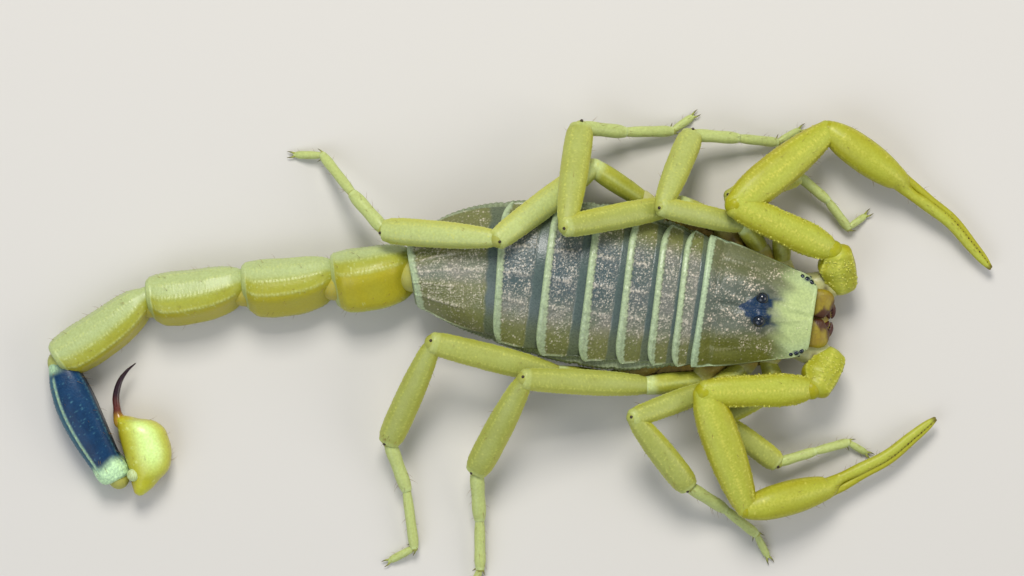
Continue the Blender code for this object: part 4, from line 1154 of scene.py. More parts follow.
@dataclass
class BackPlate:
    """One tergite: a glossy front band, a granular field with ridges, a raised light rim behind, and painted
    shadow in front.
    """

    shape: TrunkShape
    number: int
    front: float
    rear: float
    rim_width: float
    deep: float
    thickness: float = 0.4
    step: float = 0.22
    pitch: float = 0.06
    columns: int = 210
    ridge_width: float = 0.2 / 6.4

    def ridges(self) -> list[tuple[float, float, float]]:
        """Each ridge's share of the half width, its height and where along the plate it starts."""
        if self.number == 7:
            return [(0.0, 0.08, 0.12), (0.28, 0.13, 0.42), (0.62, 0.13, 0.36)]
        if self.number <= 2:
            return [(0.0, 0.12, 0.3), (0.33, 0.09, 0.4), (0.63, 0.09, 0.5)]
        return [(0.0, 0.13, 0.3), (0.36, 0.11, 0.34)]

    def surface(self) -> Surface:
        """The tergite's skin."""
        reach = self.rear - self.front
        rows = round(reach / self.pitch) + 4
        share, u = np.meshgrid(np.linspace(-1, 1, self.columns), np.linspace(0, 1, rows))
        place = self.front + reach * u
        last = self.number == 7
        corner = 0.0 * share if last else 0.55 * np.abs(share) ** 9 * u ** 3
        narrow = 1 - 0.05 * (1 - u) ** 2
        place = place - corner + 0.09 * np.sin(2.2 * share) * u
        lateral = share * narrow * smooth_curve(self.shape.plate_half_width, place)
        height = self.shape.back_height(place, share * narrow) - self.step * (1 - u)
        top = self.shape.point(place, lateral, height)
        side, behind = np.abs(share), (1 - u) * reach
        ragged = 0.045 * np.sin(9 * lateral + self.number) + 0.035 * np.sin(21 * lateral + 2 * self.number)
        width = self.rim_width * (1 + 0.6 * rise(0.0, 6.0, -lateral)) + ragged
        rim = 1 - rise(-0.12, 0.08, behind - width)
        rim = np.maximum(rim, 0.8 * rise(0.975, 0.99, side) * rise(0.25, 0.5, u))
        band_end = 0.16 if last else 0.29
        band = 1 - rise(band_end - 0.02, band_end + 0.03, u + 0.01 * np.sin(3 * lateral))
        granular = (1 - rim) * (1 - band)
        # olive sides, stronger on the animal's right, away from the key lamp: partly the plate's own colour,
        # partly painted shade
        olive_and_shade = rise(0.5, 0.86, side + 0.1 * (lateral < 0) * side) * (1 - rim) * (1 - 0.55 * band)
        wave = (np.sin(1.9 * lateral + 1.3 * np.sin(1.7 * place + self.number))
                * np.cos(2.6 * place + 0.8 * lateral))
        crowd = np.clip((0.62 + 0.34 * wave) * granular * (1 - 0.75 * olive_and_shade), 0, 1)
        grit = granules(lateral, place, 0.2, crowd, 40 + self.number)
        fine = granules(lateral, place, 0.115, 0.9 * crowd, 60 + self.number)
        lift = 0.055 * grit + 0.02 * fine
        crest = hump(behind, self.rim_width * 0.5, self.rim_width * 0.3)
        lift += 0.11 * rim + 0.05 * crest * (1 - 0.3 * band)
        lift -= 0.05 * hump(u, band_end + 0.02, 0.02) + 0.02 * band
        lift += 0.012 * np.sin(FULL_TURN * lateral / 0.9 + 2 * np.sin(place * 3)) * rim
        beads = 0.95 * np.maximum(grit, 0.8 * fine)
        for ridge_share, ridge_height, start in self.ridges():
            ridge = hump(side, ridge_share + (0.05 * (1 - u) if ridge_share else 0.0), self.ridge_width)
            ridge = ridge * rise(start, start + 0.18, u)
            row = ridge * (0.35 + 0.65 * bead_row(place, 0.27, 80 + round(10 * ridge_share)))
            lift += ridge_height * row
            beads = np.maximum(beads, 0.85 * row * (1 - 0.5 * rim))
        dip = hump(side, 0.2, 0.1) + 0.7 * hump(side, 0.52, 0.09)
        lift -= 0.04 * dip * granular
        deep = self.deep * np.exp(-((lateral - 1.0) / 3.2) ** 4 * 0.5 - 0.25 * (1 - u)) * (1 - rim)
        if last:
            olive_and_shade = np.maximum(olive_and_shade, 0.95 * (1 - rim) * (1 - band) * rise(0.05, 0.35, side))
        lipped = 0.78 + 0.22 * rise(0.22, 0.06, behind)
        marks = {PALE: rim * lipped,
                 SMOOTH: 0.9 * band,
                 WARM: 0.85 * olive_and_shade,
                 BEAD: beads * granular + 0.25 * rim * grit,
                 DEEP: deep * (1 - 0.3 * band),
                 # painted shadow: the plate's front edge, tucked under the rim of the plate in front, is
                 # darkened; the last plate has none
                 DARK: 0.55 * (1 - rise(0.02, 0.09, u)) * (0 if last else 1)}
        return plate_skin(top, lift, marks, self.thickness)


@dataclass
class Trunk:
    """The carapace, the seven tergites, the soft skin under them, and the belly's plates."""

    shape: TrunkShape
    rears: Floats = (2.0, 4.2, 7.1, 10.5, 14.4, 18.7, 26.4)
    rim_widths: Floats = (0.33, 0.36, 0.42, 0.45, 0.46, 0.45, 0.45)
    depths: Floats = (0.35, 0.5, 0.85, 1.0, 1.0, 0.95, 0.12)
    overlap: float = 0.25
    sternite_edges: Floats = (8.4, 11.5, 14.7, 18.0, 21.3, 26.3)
    skin_span: Pair = (-9.7, 26.6)
    skin_grid: tuple[int, int] = (380, 180)
    pleat: float = 0.42

    def skin(self) -> Surface:
        """The soft skin from head to tail: a rounded section, kept under the back plates, with pleats."""
        rows, columns = self.skin_grid
        turn = (FULL_TURN * np.arange(columns) / columns)[None, :]
        place = np.linspace(*self.skin_span, rows)[:, None]
        widths = (self.shape.flank_half_width, self.shape.belly_half_width, self.shape.plate_half_width)
        flank, belly_half, plate_half = (smooth_curve(keys, place) for keys in widths)
        edge = self.shape.back_height(place, 0.97) - 0.75
        low = smooth_curve(self.shape.belly_height, place)
        middle = low + 0.60 * (edge - low)
        peak = self.shape.back_height(place, 0.0) - 0.7
        over, across = np.sin(turn), np.cos(turn)
        lower = np.clip(-over, 0, 1)
        lateral = flank * signed_power(across, 0.62) * (1 - (1 - belly_half / flank) * lower ** 2.2)
        height = np.where(over > 0, middle + (peak - middle) * np.abs(over) ** 0.75,
                          middle - (middle - low) * np.abs(over) ** 0.7)
        height = np.minimum(height, self.shape.back_height(place, np.clip(lateral / plate_half, -1, 1)) - 0.5)
        gap = np.abs(place - np.array(self.rears)[None, :]).min(axis=1, keepdims=True)
        at_side = hump(over, 0.12, 0.42)
        behind_head = rise(-0.5, 1.5, place)
        pleats = (0.045 * np.sin(FULL_TURN * place / self.pleat + 2.2 * np.sin(5 * over))
                  - 0.13 * hump(gap, 0.0, 0.28))
        waves = 0.03 * np.sin(FULL_TURN * over / 0.16 + 0.9 * np.sin(place * 2.3))
        lateral = lateral + np.sign(across) * at_side * behind_head * (pleats + waves)
        points = self.shape.point(place, lateral, height)
        light = at_side * behind_head * (0.55 + 0.45 * np.sin(FULL_TURN * place / self.pleat))
        yellow = (np.maximum(rise(0.2, 0.75, -over), 1 - rise(-1.0, 0.6, place))
                  * np.ones_like(lateral))
        return closed_grid(points, {PALE: 0.5 * light, WARM: 0.9 * yellow})

    def sternite(self, number: int, front: float, rear: float) -> Surface:
        """One belly plate, with a slanted breathing slit on each side, or four ridges on the last.

        Args:
            number: 3 to 7 from the front.
            front: Where it starts.
            rear: Where it ends.

        Returns:
            Its skin.
        """
        share, u = np.meshgrid(np.linspace(-1, 1, 110), np.linspace(0, 1, round((rear - front) / 0.1)))
        place = front + (rear - front + 0.12) * u - 0.5 * np.abs(share) ** 8 * u ** 3
        lateral = share * smooth_curve(self.shape.belly_half_width, place) * 1.02
        top = self.shape.point(place, lateral, self.shape.belly(place, share) - 0.02 - 0.12 * u)
        side, behind = np.abs(share), (1 - u) * (rear - front)
        rim = 1 - rise(0.3, 0.42, behind)
        lift = 0.05 * rim - 0.03 * hump(side, 0.0, 0.06)
        dark = np.zeros(lift.shape)
        if number < 7:
            slant_u, slant_s = u - 0.5 - 0.9 * (side - 0.66), side - 0.66
            slit = np.exp(-(slant_u / 0.035) ** 2 - (slant_s / 0.085) ** 4)
            lift = lift - 0.12 * slit + 0.05 * np.exp(-(slant_u / 0.11) ** 2 - (slant_s / 0.12) ** 4)
            dark = np.clip(1.3 * slit, 0, 1)
        else:
            for ridge_share in (0.2, 0.56):
                row = hump(side, ridge_share, 0.035) * rise(0.25, 0.4, u) * rise(-0.95, -0.85, -u)
                lift = lift + 0.07 * row * (0.4 + 0.6 * bead_row(place, 0.24, 7))
        warm = 0.7 * (1 - rise(0.05, 0.3, u)) + 0.4 * side ** 4
        return plate_skin(top, lift, {PALE: rim, DARK: dark, WARM: warm}, 0.3, facing=-1)

    def build(self, shop: Workshop) -> None:
        """Makes the trunk's pieces."""
        shop.piece("carapace_shell", Shield(self.shape).surface(), Finish.SHIELD, "back_plate", "carapace")
        front = 0.04
        for number, rear in enumerate(self.rears, start=1):
            plate = BackPlate(self.shape, number, front, rear, self.rim_widths[number - 1],
                              self.depths[number - 1])
            shop.piece(f"tergite_{number}_shell", plate.surface(), Finish.BACK, "back_plate",
                       f"tergite_{number}")
            front = rear - self.overlap
        shop.piece("trunk_skin", self.skin(), Finish.MEMBRANE, "underside", "mesosoma_underside")
        edges = self.sternite_edges
        for number, (front, rear) in enumerate(zip(edges, edges[1:]), start=3):
            shop.piece(f"sternite_{number}", self.sternite(number, front, rear), Finish.BELLY, "underside")


@dataclass
class Head:
    """The eyes and the chelicerae."""

    shape: TrunkShape
    eye_place: Pair = (1.03, -5.3)
    eye_radius: float = 0.56
    eye_lift: float = 0.36
    side_eyes: Rows = ((3.12, -9.62, 5.15, 0.29), (3.36, -9.2, 5.15, 0.29), (3.52, -8.74, 5.15, 0.27),
                       (3.62, -9.5, 4.86, 0.13), (3.74, -9.0, 4.84, 0.12))
    hand: Rows = ((1.25, -9.5, 4.05, 1.0), (1.35, -10.2, 4.12, 1.28), (1.36, -10.9, 4.1, 1.34),
                  (1.33, -11.5, 3.98, 1.3), (1.2, -12.0, 3.85, 1.1))
    fixed: Rows = ((1.15, -11.0, 4.1, 0.5), (0.78, -11.4, 4.0, 0.38), (0.4, -11.72, 3.85, 0.22),
                   (0.12, -11.88, 3.72, 0.07))
    teeth: Floats = (0.9, 1.4, 1.9, 2.4)
    gap_shade: Keys = ((10.1, -0.1), (11.15, 1.05), (11.7, 0.85), (12.0, 2.0))
    movable: Rows = ((1.5, -11.6, 3.65, 0.45), (1.05, -12.02, 3.55, 0.32),
                     (0.55, -12.15, 3.48, 0.2), (0.15, -12.08, 3.45, 0.07))

    def chelicera(self, side: Side) -> list[Surface]:
        """One chelicera: a bulbous hand, two fingers, and the teeth between them."""
        mirror = np.array((side.value, 1.0, 1.0, 1.0))
        hand = curved_tube(np.array(self.hand) * mirror, 44, 50, 3.2, 0.55)
        hand.lift += 0.02 * granules(hand.along, hand.arc(90), 0.16, 0.5, 11)
        # painted shade: the hands are darkened from their inner sides outward towards the front, as the shade
        # in the gap between the two chelicerae
        reach = np.interp(-hand.points[..., 1], *np.array(self.gap_shade).T)
        hand.mark(DARK, 0.95 * rise(0.14, -0.14, np.abs(hand.points[..., 0]) - reach))
        hand.mark(PALE, 0.4 * (1 - rise(0.02, 0.2, hand.share)))
        parts = [hand.surface()]
        for stations, facing in ((self.fixed, 1), (self.movable, -1)):
            stations = np.array(stations) * mirror
            finger = curved_tube(stations, 20, 30, 2.0, 0.9)
            finger.mark(DARK, rise(0.08, 0.4, finger.share))
            parts.append(finger.surface())
            way = unit(np.array((0.3 * facing * side.value, -0.8 * facing, 0.0)))
            numbered = np.column_stack((np.arange(len(stations)), stations))
            for *place, half in smooth_curve(numbered, np.array(self.teeth)):
                base = np.array(place) + 0.6 * half * way
                parts.append(hook(base, way, np.zeros(3), 0.16 + 0.5 * half, 0.5 * half, 1.0, 7, 5))
        return parts

    def build(self, shop: Workshop) -> None:
        """Makes the eyes and the chelicerae."""
        eye_x, eye_y = self.eye_place
        height = float(self.shape.back_height(np.float64(eye_y), np.float64(0.0))) + self.eye_lift
        for side in Side:
            eye = balls([(side.value * eye_x, eye_y, height)], self.eye_radius, {}, 22, 40)
            shop.piece(f"median_eye_{side.word}", eye, Finish.EYE, "eye", f"eye_median_{side.word}")
            lenses = np.array(self.side_eyes) * (side.value, 1, 1, 1)
            beads = balls(lenses[:, :3], lenses[:, 3], {}, 14, 24)
            shop.piece(f"side_eyes_{side.word}", beads, Finish.EYE, "eye", f"eyes_lateral_{side.word}")
            shop.piece(f"jaw_{side.word}", self.chelicera(side), Finish.JAW, "chelicera",
                       f"chelicera_{side.word}")
        mouth = balls([(0.0, -10.6, 3.45)], [(2.9, 1.25, 0.75)], {}, 20, 44)
        shop.piece("mouth_skin", mouth, Finish.JAW, "chelicera")


@dataclass
class Underside:
    """The fan of hips under the carapace, the sternum, the genital plates and the two combs."""

    roots: tuple[Point, ...] = ((2.3, -8.0, 2.3), (1.0, -7.6, 2.0), (1.0, -6.1, 1.95), (1.0, -4.6, 1.95),
                                (1.3, -3.2, 1.95))
    joints: tuple[Point, ...] = (PALP_BASE, *HIPS.values())
    hip_profile: Keys = ((0.0, 0.72), (0.3, 0.95), (0.6, 1.0), (0.9, 0.94), (1.0, 0.82))
    teeth: int = 29
    comb_length: float = 6.4
    comb_heading: float = 143.0
    comb_shaft: Keys = ((-0.2, 0.34), (1.5, 0.4), (4.0, 0.3), (6.2, 0.16))
    skirt_edge: Keys = ((-11.2, 2.4), (-9.5, 3.3), (-7.5, 4.5), (-5.5, 5.3), (-3.0, 6.1), (0.0, 7.2),
                        (3.0, 7.5), (6.4, 7.9))

    def hip(self, side: Side, number: int) -> Surface:
        """One hip block, from the sternum to the limb's first joint; number 0 is the pedipalp's."""
        root, joint = (np.array(place[number]) * (side.value, 1, 1) for place in (self.roots, self.joints))
        half_width, half_depth = (1.14, 0.98) if number else (1.3, 1.25)
        tube = straight_tube(root, joint, self.hip_profile, half_width, half_depth, 44, 60, 2.5,
                             reach=(0.9, 0.5))
        for at in (20, 160, -20, -160):
            tube.carina(at, 0.05, 0.14, 0.28, (0.2, 0.95), pale=0.3, seed=number)
        tube.granulate(0.2, 0.03, 0.35, 90 + number)
        tube.mark(WARM, 0.8 * (1 - rise(0.8, 0.95, tube.share)) if number else 0.0)
        tube.mark(PALE, 0.0 if number else 0.7)
        tube.mark(DARK, 0.8 * hump(tube.share, 0.78, 0.07) * hump(tube.arc(90), 0.25, 0.3))
        tube.mark(PALE, 0.6 * rise(0.93, 0.99, tube.share))
        return tube.surface()

    def skirt(self, side: Side) -> Surface:
        """The soft skin between the hips, seen beside the carapace.

        It is a thin sheet from the sternum out to a line a little inside the limbs' first joints; its
        orange-brown is darkened as painted shade, and its dark spots are painted shadow in the gaps between
        the hips.
        """
        place = np.linspace(self.skirt_edge[0][0], self.skirt_edge[-1][0], 90)[:, None]
        share = np.linspace(0, 1, 30)[None, :]
        lateral = side.value * (0.8 + share * (smooth_curve(self.skirt_edge, place) - 0.8))
        folds = 0.05 * np.sin(FULL_TURN * place / 0.7 + 2 * share)
        height = 2.45 + 0.35 * share + folds
        top = np.stack(np.broadcast_arrays(lateral, place, height), axis=-1)
        # painted shadow: dark spots standing for the shaded gaps between the hips
        shaded_gap_spots = granules(top[..., 0], top[..., 1], 0.7, 0.3, 77)
        marks = {WARM: 0.9, DARK: 0.9 * rise(0.3, 0.6, shaded_gap_spots)}
        return plate_skin(top, np.zeros(height.shape), marks, 0.5)

    def plate(self, outline: Keys, height: float, bulge: float, furrow: float) -> Surface:
        """A small belly plate.

        Args:
            outline: Its half width at each place.
            height: Height of its edges.
            bulge: How far its middle stands out downwards.
            furrow: Depth of the groove along its middle.

        Returns:
            Its skin.
        """
        place = np.linspace(outline[0][0], outline[-1][0], 40)[:, None]
        share = np.linspace(-1, 1, 48)[None, :]
        lateral = share * smooth_curve(outline, place)
        low = height - bulge * (1 - share ** 2)
        top = np.stack(np.broadcast_arrays(lateral, place, low), axis=-1)
        lift = -furrow * hump(lateral, 0.0, 0.1)
        return plate_skin(top, lift, {PALE: 0.4 * np.abs(share) ** 6}, 0.35, facing=-1)

    def comb(self, side: Side) -> Surface:
        """One comb: a shaft with cross furrows, and behind it a row of beads and a fan of flat teeth."""
        root = np.array((side.value * 1.0, 2.0, 1.05))
        along, back = (heading_vector(self.comb_heading + turn, side.value) for turn in (0, 90))
        stations = [(*(root + along * run - back * 0.25), half_width) for run, half_width in self.comb_shaft]
        shaft = curved_tube(stations, 24, 70, 2.4, 0.55)
        shaft.lift -= 0.03 * hump(np.mod(shaft.along, 1.3), 0.65, 0.06)
        parts = [shaft.surface()]
        centres = []
        for k in range(self.teeth):
            t = (k + 0.5) / self.teeth
            taper = 1 - 0.5 * t ** 2
            base = root + along * self.comb_length * t
            centres.append(base + back * 0.16 * taper)
            tooth_path = base[None, :] + np.linspace(0.15, 0.98, 7)[:, None] * taper * (back + 0.12 * along)
            width = 0.105 * np.sin(np.linspace(0.5, 2.75, 7)) ** 0.5
            parts.append(Tube(tooth_path, width, width * 0.8, 7).surface())
        parts.append(balls(centres, [(0.15, 0.15, 0.14)], {PALE: 0.4}))
        return Surface.joined(parts)

    def build(self, shop: Workshop) -> None:
        """Makes the pieces under the front of the body."""
        blocks = [self.hip(side, number) for side in Side for number in range(len(self.roots))]
        blocks += [self.skirt(side) for side in Side]
        shop.piece("hip_blocks", blocks, Finish.BELLY, "underside", "coxosternum")
        plates = [self.plate(((-4.3, 0.1), (-3.4, 0.55), (-2.4, 0.85), (-1.9, 0.8)), 1.3, 0.25, 0.12),
                  self.plate(((-1.85, 1.0), (-1.2, 1.7), (-0.2, 1.75), (0.5, 1.2)), 1.35, 0.25, 0.1),
                  self.plate(((0.55, 1.6), (1.2, 1.9), (2.2, 1.7)), 1.35, 0.2, 0.05),
                  self.plate(((2.2, 3.6), (4.0, 4.4), (6.2, 4.7), (8.3, 4.8)), 1.75, 0.3, 0.0)]
        shop.piece("belly_plates", plates, Finish.BELLY, "underside")
        for side in Side:
            shop.piece(f"comb_{side.word}", self.comb(side), Finish.BELLY, "underside", f"pecten_{side.word}")


# ---- bristles

@dataclass
class Coat:
    """The sparse bristles of the limbs and tail, sown on tubes and built as one solid mesh.

    Each tube has a square cell of the coat's UV map, across which its length and its angle run, and each
    bristle is a small patch there at its root's place.
    """

    cells: int = 8
    cell_fill: float = 0.94
    patch: float = 0.003
    rings: int = 5
    sown: list[tuple[Array, ...]] = field(default_factory=list)

    def sow(self, tube: Tube, count: int, length: float, seed: int, lean: float = 0.45,
            radius: float = 0.022) -> None:
        """Sets bristles on a tube.

        Args:
            tube: The tube that carries them.
            count: How many.
            length: Their mean length in millimetres.
            seed: Seed of the scatter.
            lean: How far they lean towards the tube's end.
            radius: Radius at the root.
        """
        rng = np.random.default_rng(seed)
        rows, columns = tube.lift.shape
        row = rng.integers(rows // 12, rows - rows // 12, count)
        angle = np.mod(90 + 360 * (rng.random(count) - 0.5), 360)
        column = (angle / 360 * columns).astype(int) % columns
        depth = tube.lift[row, column, None] - HAIR_ROOT
        base = tube.points[row, column] + tube.outward[row, column] * depth
        base[:, 2] = np.maximum(base[:, 2], HAIR_ROOT)
        wander = 0.25 * rng.standard_normal((count, 3))
        way = unit(tube.outward[row, column] + lean * tube.direction[row] + wander)
        curl = 0.3 * tube.direction[row] - 0.1 * wander
        size = length * (0.55 + 0.9 * rng.random(count))
        lowest = (base + size[:, None] * (way + curl))[:, 2]
        shorter = np.clip((base[:, 2] - 0.02) / (base[:, 2] - lowest + 1e-6), 0.1, 1)
        size = np.where(lowest < HAIR_ROOT, size * shorter, size)
        cell = len(self.sown)
        corner = np.array((cell % self.cells, cell // self.cells)) / self.cells
        inner = (1 / self.cells) * self.cell_fill
        uv = corner + inner * np.stack((tube.share[row, 0], angle / 360), axis=-1)
        self.sown.append((base, way, curl, size, np.full(count, radius), uv))

    def build(self, shop: Workshop) -> None:
        """Makes the bristles: base + size * (t * way + t^2 * curl), three-sided and tapered to a point."""
        base, way, curl, size, radius, uv = (np.concatenate(column) for column in zip(*self.sown))
        count, rings = len(base), self.rings
        t = np.linspace(0.0, 1.0, rings)[None, :, None]
        path = base[:, None] + size[:, None, None] * (t * way[:, None] + t ** 2 * curl[:, None])
        helper = np.where(np.abs(way[:, 2:3]) > 0.9, (1.0, 0.0, 0.0), (0.0, 0.0, 1.0))
        side = unit(np.cross(way, helper))
        over = np.cross(way, side)
        turn = (FULL_TURN * np.arange(3) / 3)[None, None, :, None]
        thick = (radius[:, None] * (1 - t[..., 0]) ** 0.7)[..., None, None]
        round_path = np.cos(turn) * side[:, None, None] + np.sin(turn) * over[:, None, None]
        ring = path[:, :, None] + thick * round_path
        points = np.concatenate((ring[:, :-1].reshape(count, -1, 3), path[:, -1:]), axis=1)
        points[..., 2] = np.maximum(points[..., 2], 0.0)
        per = points.shape[1]
        corner, following = np.arange(3), (np.arange(3) + 1) % 3
        quads = np.concatenate([np.stack((3 * r + corner, 3 * r + following, 3 * r + 3 + following,
                                          3 * r + 3 + corner), axis=-1) for r in range(rings - 2)])
        tip, last = per - 1, 3 * (rings - 2)
        tips = np.stack((last + corner, last + following, np.full(3, tip)), axis=-1)
        tris = np.concatenate((tips, [(2, 1, 0)]))
        surface = Surface.copies(points, quads, tris, {}).facing_out()
        made = shop.piece("bristles", surface, Finish.BRISTLE, "limb")
        spot = np.zeros((per, 2))
        spot[:-1] = np.stack((np.tile(np.arange(3) / 3, rings - 1),
                              np.repeat(np.arange(rings - 1) / rings, 3)), axis=-1)
        spot[-1] = (0.5, 1.0)
        where = (uv[:, None] + self.patch * spot[None]).reshape(-1, 2)
        corners = np.empty(len(made.data.loops), dtype=np.int32)
        made.data.loops.foreach_get("vertex_index", corners)
        layer = made.data.uv_layers.new(name="OFBake")
        layer.data.foreach_set("uv", where[corners].astype(np.float32).ravel())


# ---- legs

@dataclass(frozen=True)
class LegPlan:
    """One leg's joints: the lengths and half widths of its six segments, and how each segment lies."""

    number: int
    side: Side
    hip: Point
    lengths: Floats
    half_widths: Floats
    headings: Floats
    heights: Floats
    # share of painted highlight laid along the top of the femur and patella
    top_highlight: float = 0.12

    @property
    def node(self) -> str:
        """Start of the names of this leg's nodes."""
        return f"leg_{self.side.word}_{self.number}"

    def joints(self) -> Array:
        """Centres of its seven joints."""
        return chain_points(self.hip, self.lengths, self.headings, self.heights, self.side.value)


def bend_side(before: Array, after: Array) -> float:
    """Angle (0 or 180 degrees) of the inner side of the bend between two directions."""
    return 0.0 if np.cross(before, after)[2] > 0 else 180.0


def rim_mark(tube: Tube, low: float = 0.93, high: float = 0.985, amount: float = 0.8) -> None:
    """Lightens the far end of a segment."""
    tube.mark(PALE, amount * rise(low, high, tube.share))


@dataclass
class Leg:
    """One leg, with its trochanter, femur, patella, tibia, two tarsal segments and claws."""

    plan: LegPlan
    coat: Coat
    columns: int = 44
    flatness: float = 0.86
    femur_profile: Rows = ((0.0, 0.72, 0.75), (0.1, 0.84, 0.88), (0.3, 1.0, 1.0), (0.7, 1.02, 1.0),
                           (0.93, 0.93, 0.93), (1.0, 0.88, 0.88))
    patella_profile: Rows = ((0.0, 0.6, 0.66), (0.1, 0.75, 0.78), (0.35, 0.97, 0.97), (0.65, 1.05, 1.0),
                             (0.86, 1.03, 0.96), (0.95, 0.96, 0.88), (1.0, 0.86, 0.8))
    foot_profiles: tuple[Keys, ...] = (((0.0, 0.85), (0.15, 1.05), (0.5, 1.0), (0.9, 0.98), (1.0, 0.85)),
                                       ((0.0, 0.8), (0.2, 0.98), (0.6, 1.0), (0.92, 0.98), (1.0, 0.82)),
                                       ((0.0, 0.8), (0.25, 1.02), (0.6, 1.08), (0.9, 0.95), (1.0, 0.7)))
    foot_detail: int = 10
    foot_hairs: tuple[tuple[int, float, float], ...] = ((10, 0.6, 0.022), (14, 0.5, 0.02), (18, 0.38, 0.017))
    blade_ridges: Keys = ((4, 0.13), (176, 0.13), (58, 0.015), (122, 0.015), (-55, 0.06), (-125, 0.06))
    ball_sizes: tuple[tuple[int, float], ...] = ((0, 0.84), (0, 0.78), (1, 0.72), (2, 0.56), (3, 0.78),
                                                 (4, 0.78))

    def blade(self, start: Array, end: Array, profile: Rows, half_width: float, inner: float, cap: float,
              seed: int) -> Tube:
        """A long ridged segment (the femur or the patella).

        Args:
            start: Its first joint.
            end: Its second joint.
            profile: Rows of (share, width scale, depth scale).
            half_width: Its half width.
            inner: Angle of its yellower side, in degrees.
            cap: Length of its rounded far end, in half widths.
            seed: Seed of its unevenness.

        Returns:
            The dressed tube.
        """
        rows = round(distance(start, end) * PLATE_DETAIL)
        tube = straight_tube(start, end, profile, half_width, half_width * self.flatness, self.columns, rows,
                             2.25, reach=(0.85, cap))
        for ridge_seed, (at, height) in enumerate(self.blade_ridges, start=seed):
            tube.carina(at, height, 0.10, 0.36, (0.06, 0.96), 4.5 * height, height, ridge_seed)
        tube.granulate(0.17, 0.012, 0.22, seed)
        edges = np.maximum(tube.near(0, 0.6), tube.near(180, 0.6))
        sides = np.maximum(0.9 * tube.near(inner, 0.75), 0.45 * edges)
        tube.mark(WARM, np.maximum(sides, 0.85 * tube.near(-90, 1.1)))
        # painted highlight: the upper side is made paler, as if lit from above
        tube.mark(PALE, self.plan.top_highlight * tube.near(90, 1.0))
        rim_mark(tube, 0.95, 0.99, 0.35)
        return tube

    def joint_bead(self, joint: Array, before: Array, after: Array, size: float, aside: float) -> Surface:
        """The dark knob that a joint turns on, a share of the size to the outer side of the bend."""
        sideways, up = (axis[0] for axis in cross_axes(unit(before + after)[None, :]))
        outer = -1.0 if bend_side(before, after) == 0.0 else 1.0
        place = joint + size * (up * math.sqrt(1 - aside ** 2) * 0.98 + sideways * outer * aside)
        return balls([place], [(0.15, 0.15, 0.12)], {DARK: 1.0}, 6, 10)

    def foot(self, joints: Array) -> list[Surface]:
        """The tibia and the two tarsal segments."""
        plan, parts = self.plan, []
        for number, profile in enumerate(self.foot_profiles):
            start, end, half = joints[3 + number], joints[4 + number], plan.half_widths[3 + number]
            count, length, radius = self.foot_hairs[number]
            rows = round(distance(start, end) * self.foot_detail)
            tube = straight_tube(start, end, profile, half, half * 0.98, 26, rows, 2.1, reach=(0.8, 0.7))
            seed = 7 * plan.number + number + (100 if plan.side is Side.LEFT else 0)
            if number == 0:
                for at in (10, 170):
                    tube.carina(at, 0.03, 0.08, 0.25, pale=0.3, seed=seed)
            tube.mark(WARM, 0.6 * tube.near(-90, 1.0))
            rim_mark(tube, 0.9, 0.98, 0.7)
            tube.mark(PALE, 0.5)
            self.coat.sow(tube, count, length, seed, lean=0.7, radius=radius)
            parts.append(tube.surface())
        return parts

    def claws(self, joints: Array) -> Surface:
        """The paired claws, the spurs at the tarsus's root, and the tibia's spur on the rear legs."""
        last = unit(joints[6] - joints[5])
        level = unit(last * (1, 1, 0))
        side = np.cross(UPWARD, level)
        parts = []
        for way in (1, -1):
            base = joints[6] + side * way * 0.11 + UPWARD * 0.1
            out = unit(level + 0.5 * way * side + 0.3 * UPWARD)
            parts.append(hook(base, out, -0.35 * UPWARD - 0.25 * way * side, 0.85, 0.11, 0.8))
            spur, outward = joints[5] + side * way * 0.28, unit(level + 0.7 * way * side - 0.2 * UPWARD)
            parts.append(hook(spur, outward, np.zeros(3), 0.6, 0.09, 0.9))
        if self.plan.number >= 3:
            before = unit(joints[4] - joints[3])
            spur = joints[4] - UPWARD * 0.2
            parts.append(hook(spur, unit(before - 0.35 * UPWARD), np.zeros(3), 0.75, 0.1, 0.9))
        made = Surface.joined(parts)
        made.points[:, 2] = np.maximum(made.points[:, 2], 0.0)
        return made

    def build(self, shop: Workshop) -> None:
        """Makes the leg's pieces."""
        plan, joints = self.plan, self.plan.joints()
        ways = directions(joints)
        half = plan.half_widths
        seed = 11 * plan.number + (300 if plan.side is Side.LEFT else 0)
        first = straight_tube(joints[0], joints[1], ((0.0, 0.86), (0.3, 0.98), (0.7, 1.02), (1.0, 0.9)),
                              half[0], half[0], 36, 40, 2.2, reach=(0.8, 0.7))
        first.carina(90, 0.05, 0.14, 0.26, seed=seed)
        first.granulate(0.2, 0.03, 0.4, seed)
        first.mark(WARM, 0.4)
        rim_mark(first, 0.8, 0.95)
        inner = bend_side(ways[1], ways[2])
        femur = self.blade(joints[1], joints[2], self.femur_profile, half[1], inner, 0.6, seed + 20)
        patella = self.blade(joints[2], joints[3], self.patella_profile, half[2], inner, 0.28, seed + 40)
        for tube, count in ((first, 5), (femur, 14), (patella, 16)):
            self.coat.sow(tube, count, 0.42, seed + count)
        beads = [self.joint_bead(joints[2], ways[1], ways[2], 0.72 * half[1], 0.35),
                 self.joint_bead(joints[3], ways[2], ways[3], 0.68 * half[2], 0.5)]
        for name, skins in (("femur", [first.surface(), femur.surface()]), ("patella", patella.surface()),
                            ("foot", self.foot(joints))):
            shop.piece(f"{plan.node}_{name}_shell", skins, Finish.LIMB, "limb", f"{plan.node}_{name}")
        sizes = np.array([half[k] * scale for k, scale in self.ball_sizes])
        soft = balls(joints[:6], sizes, {}, 12, 20)
        shop.piece(f"{plan.node}_membranes", soft, Finish.JOINT, "limb")
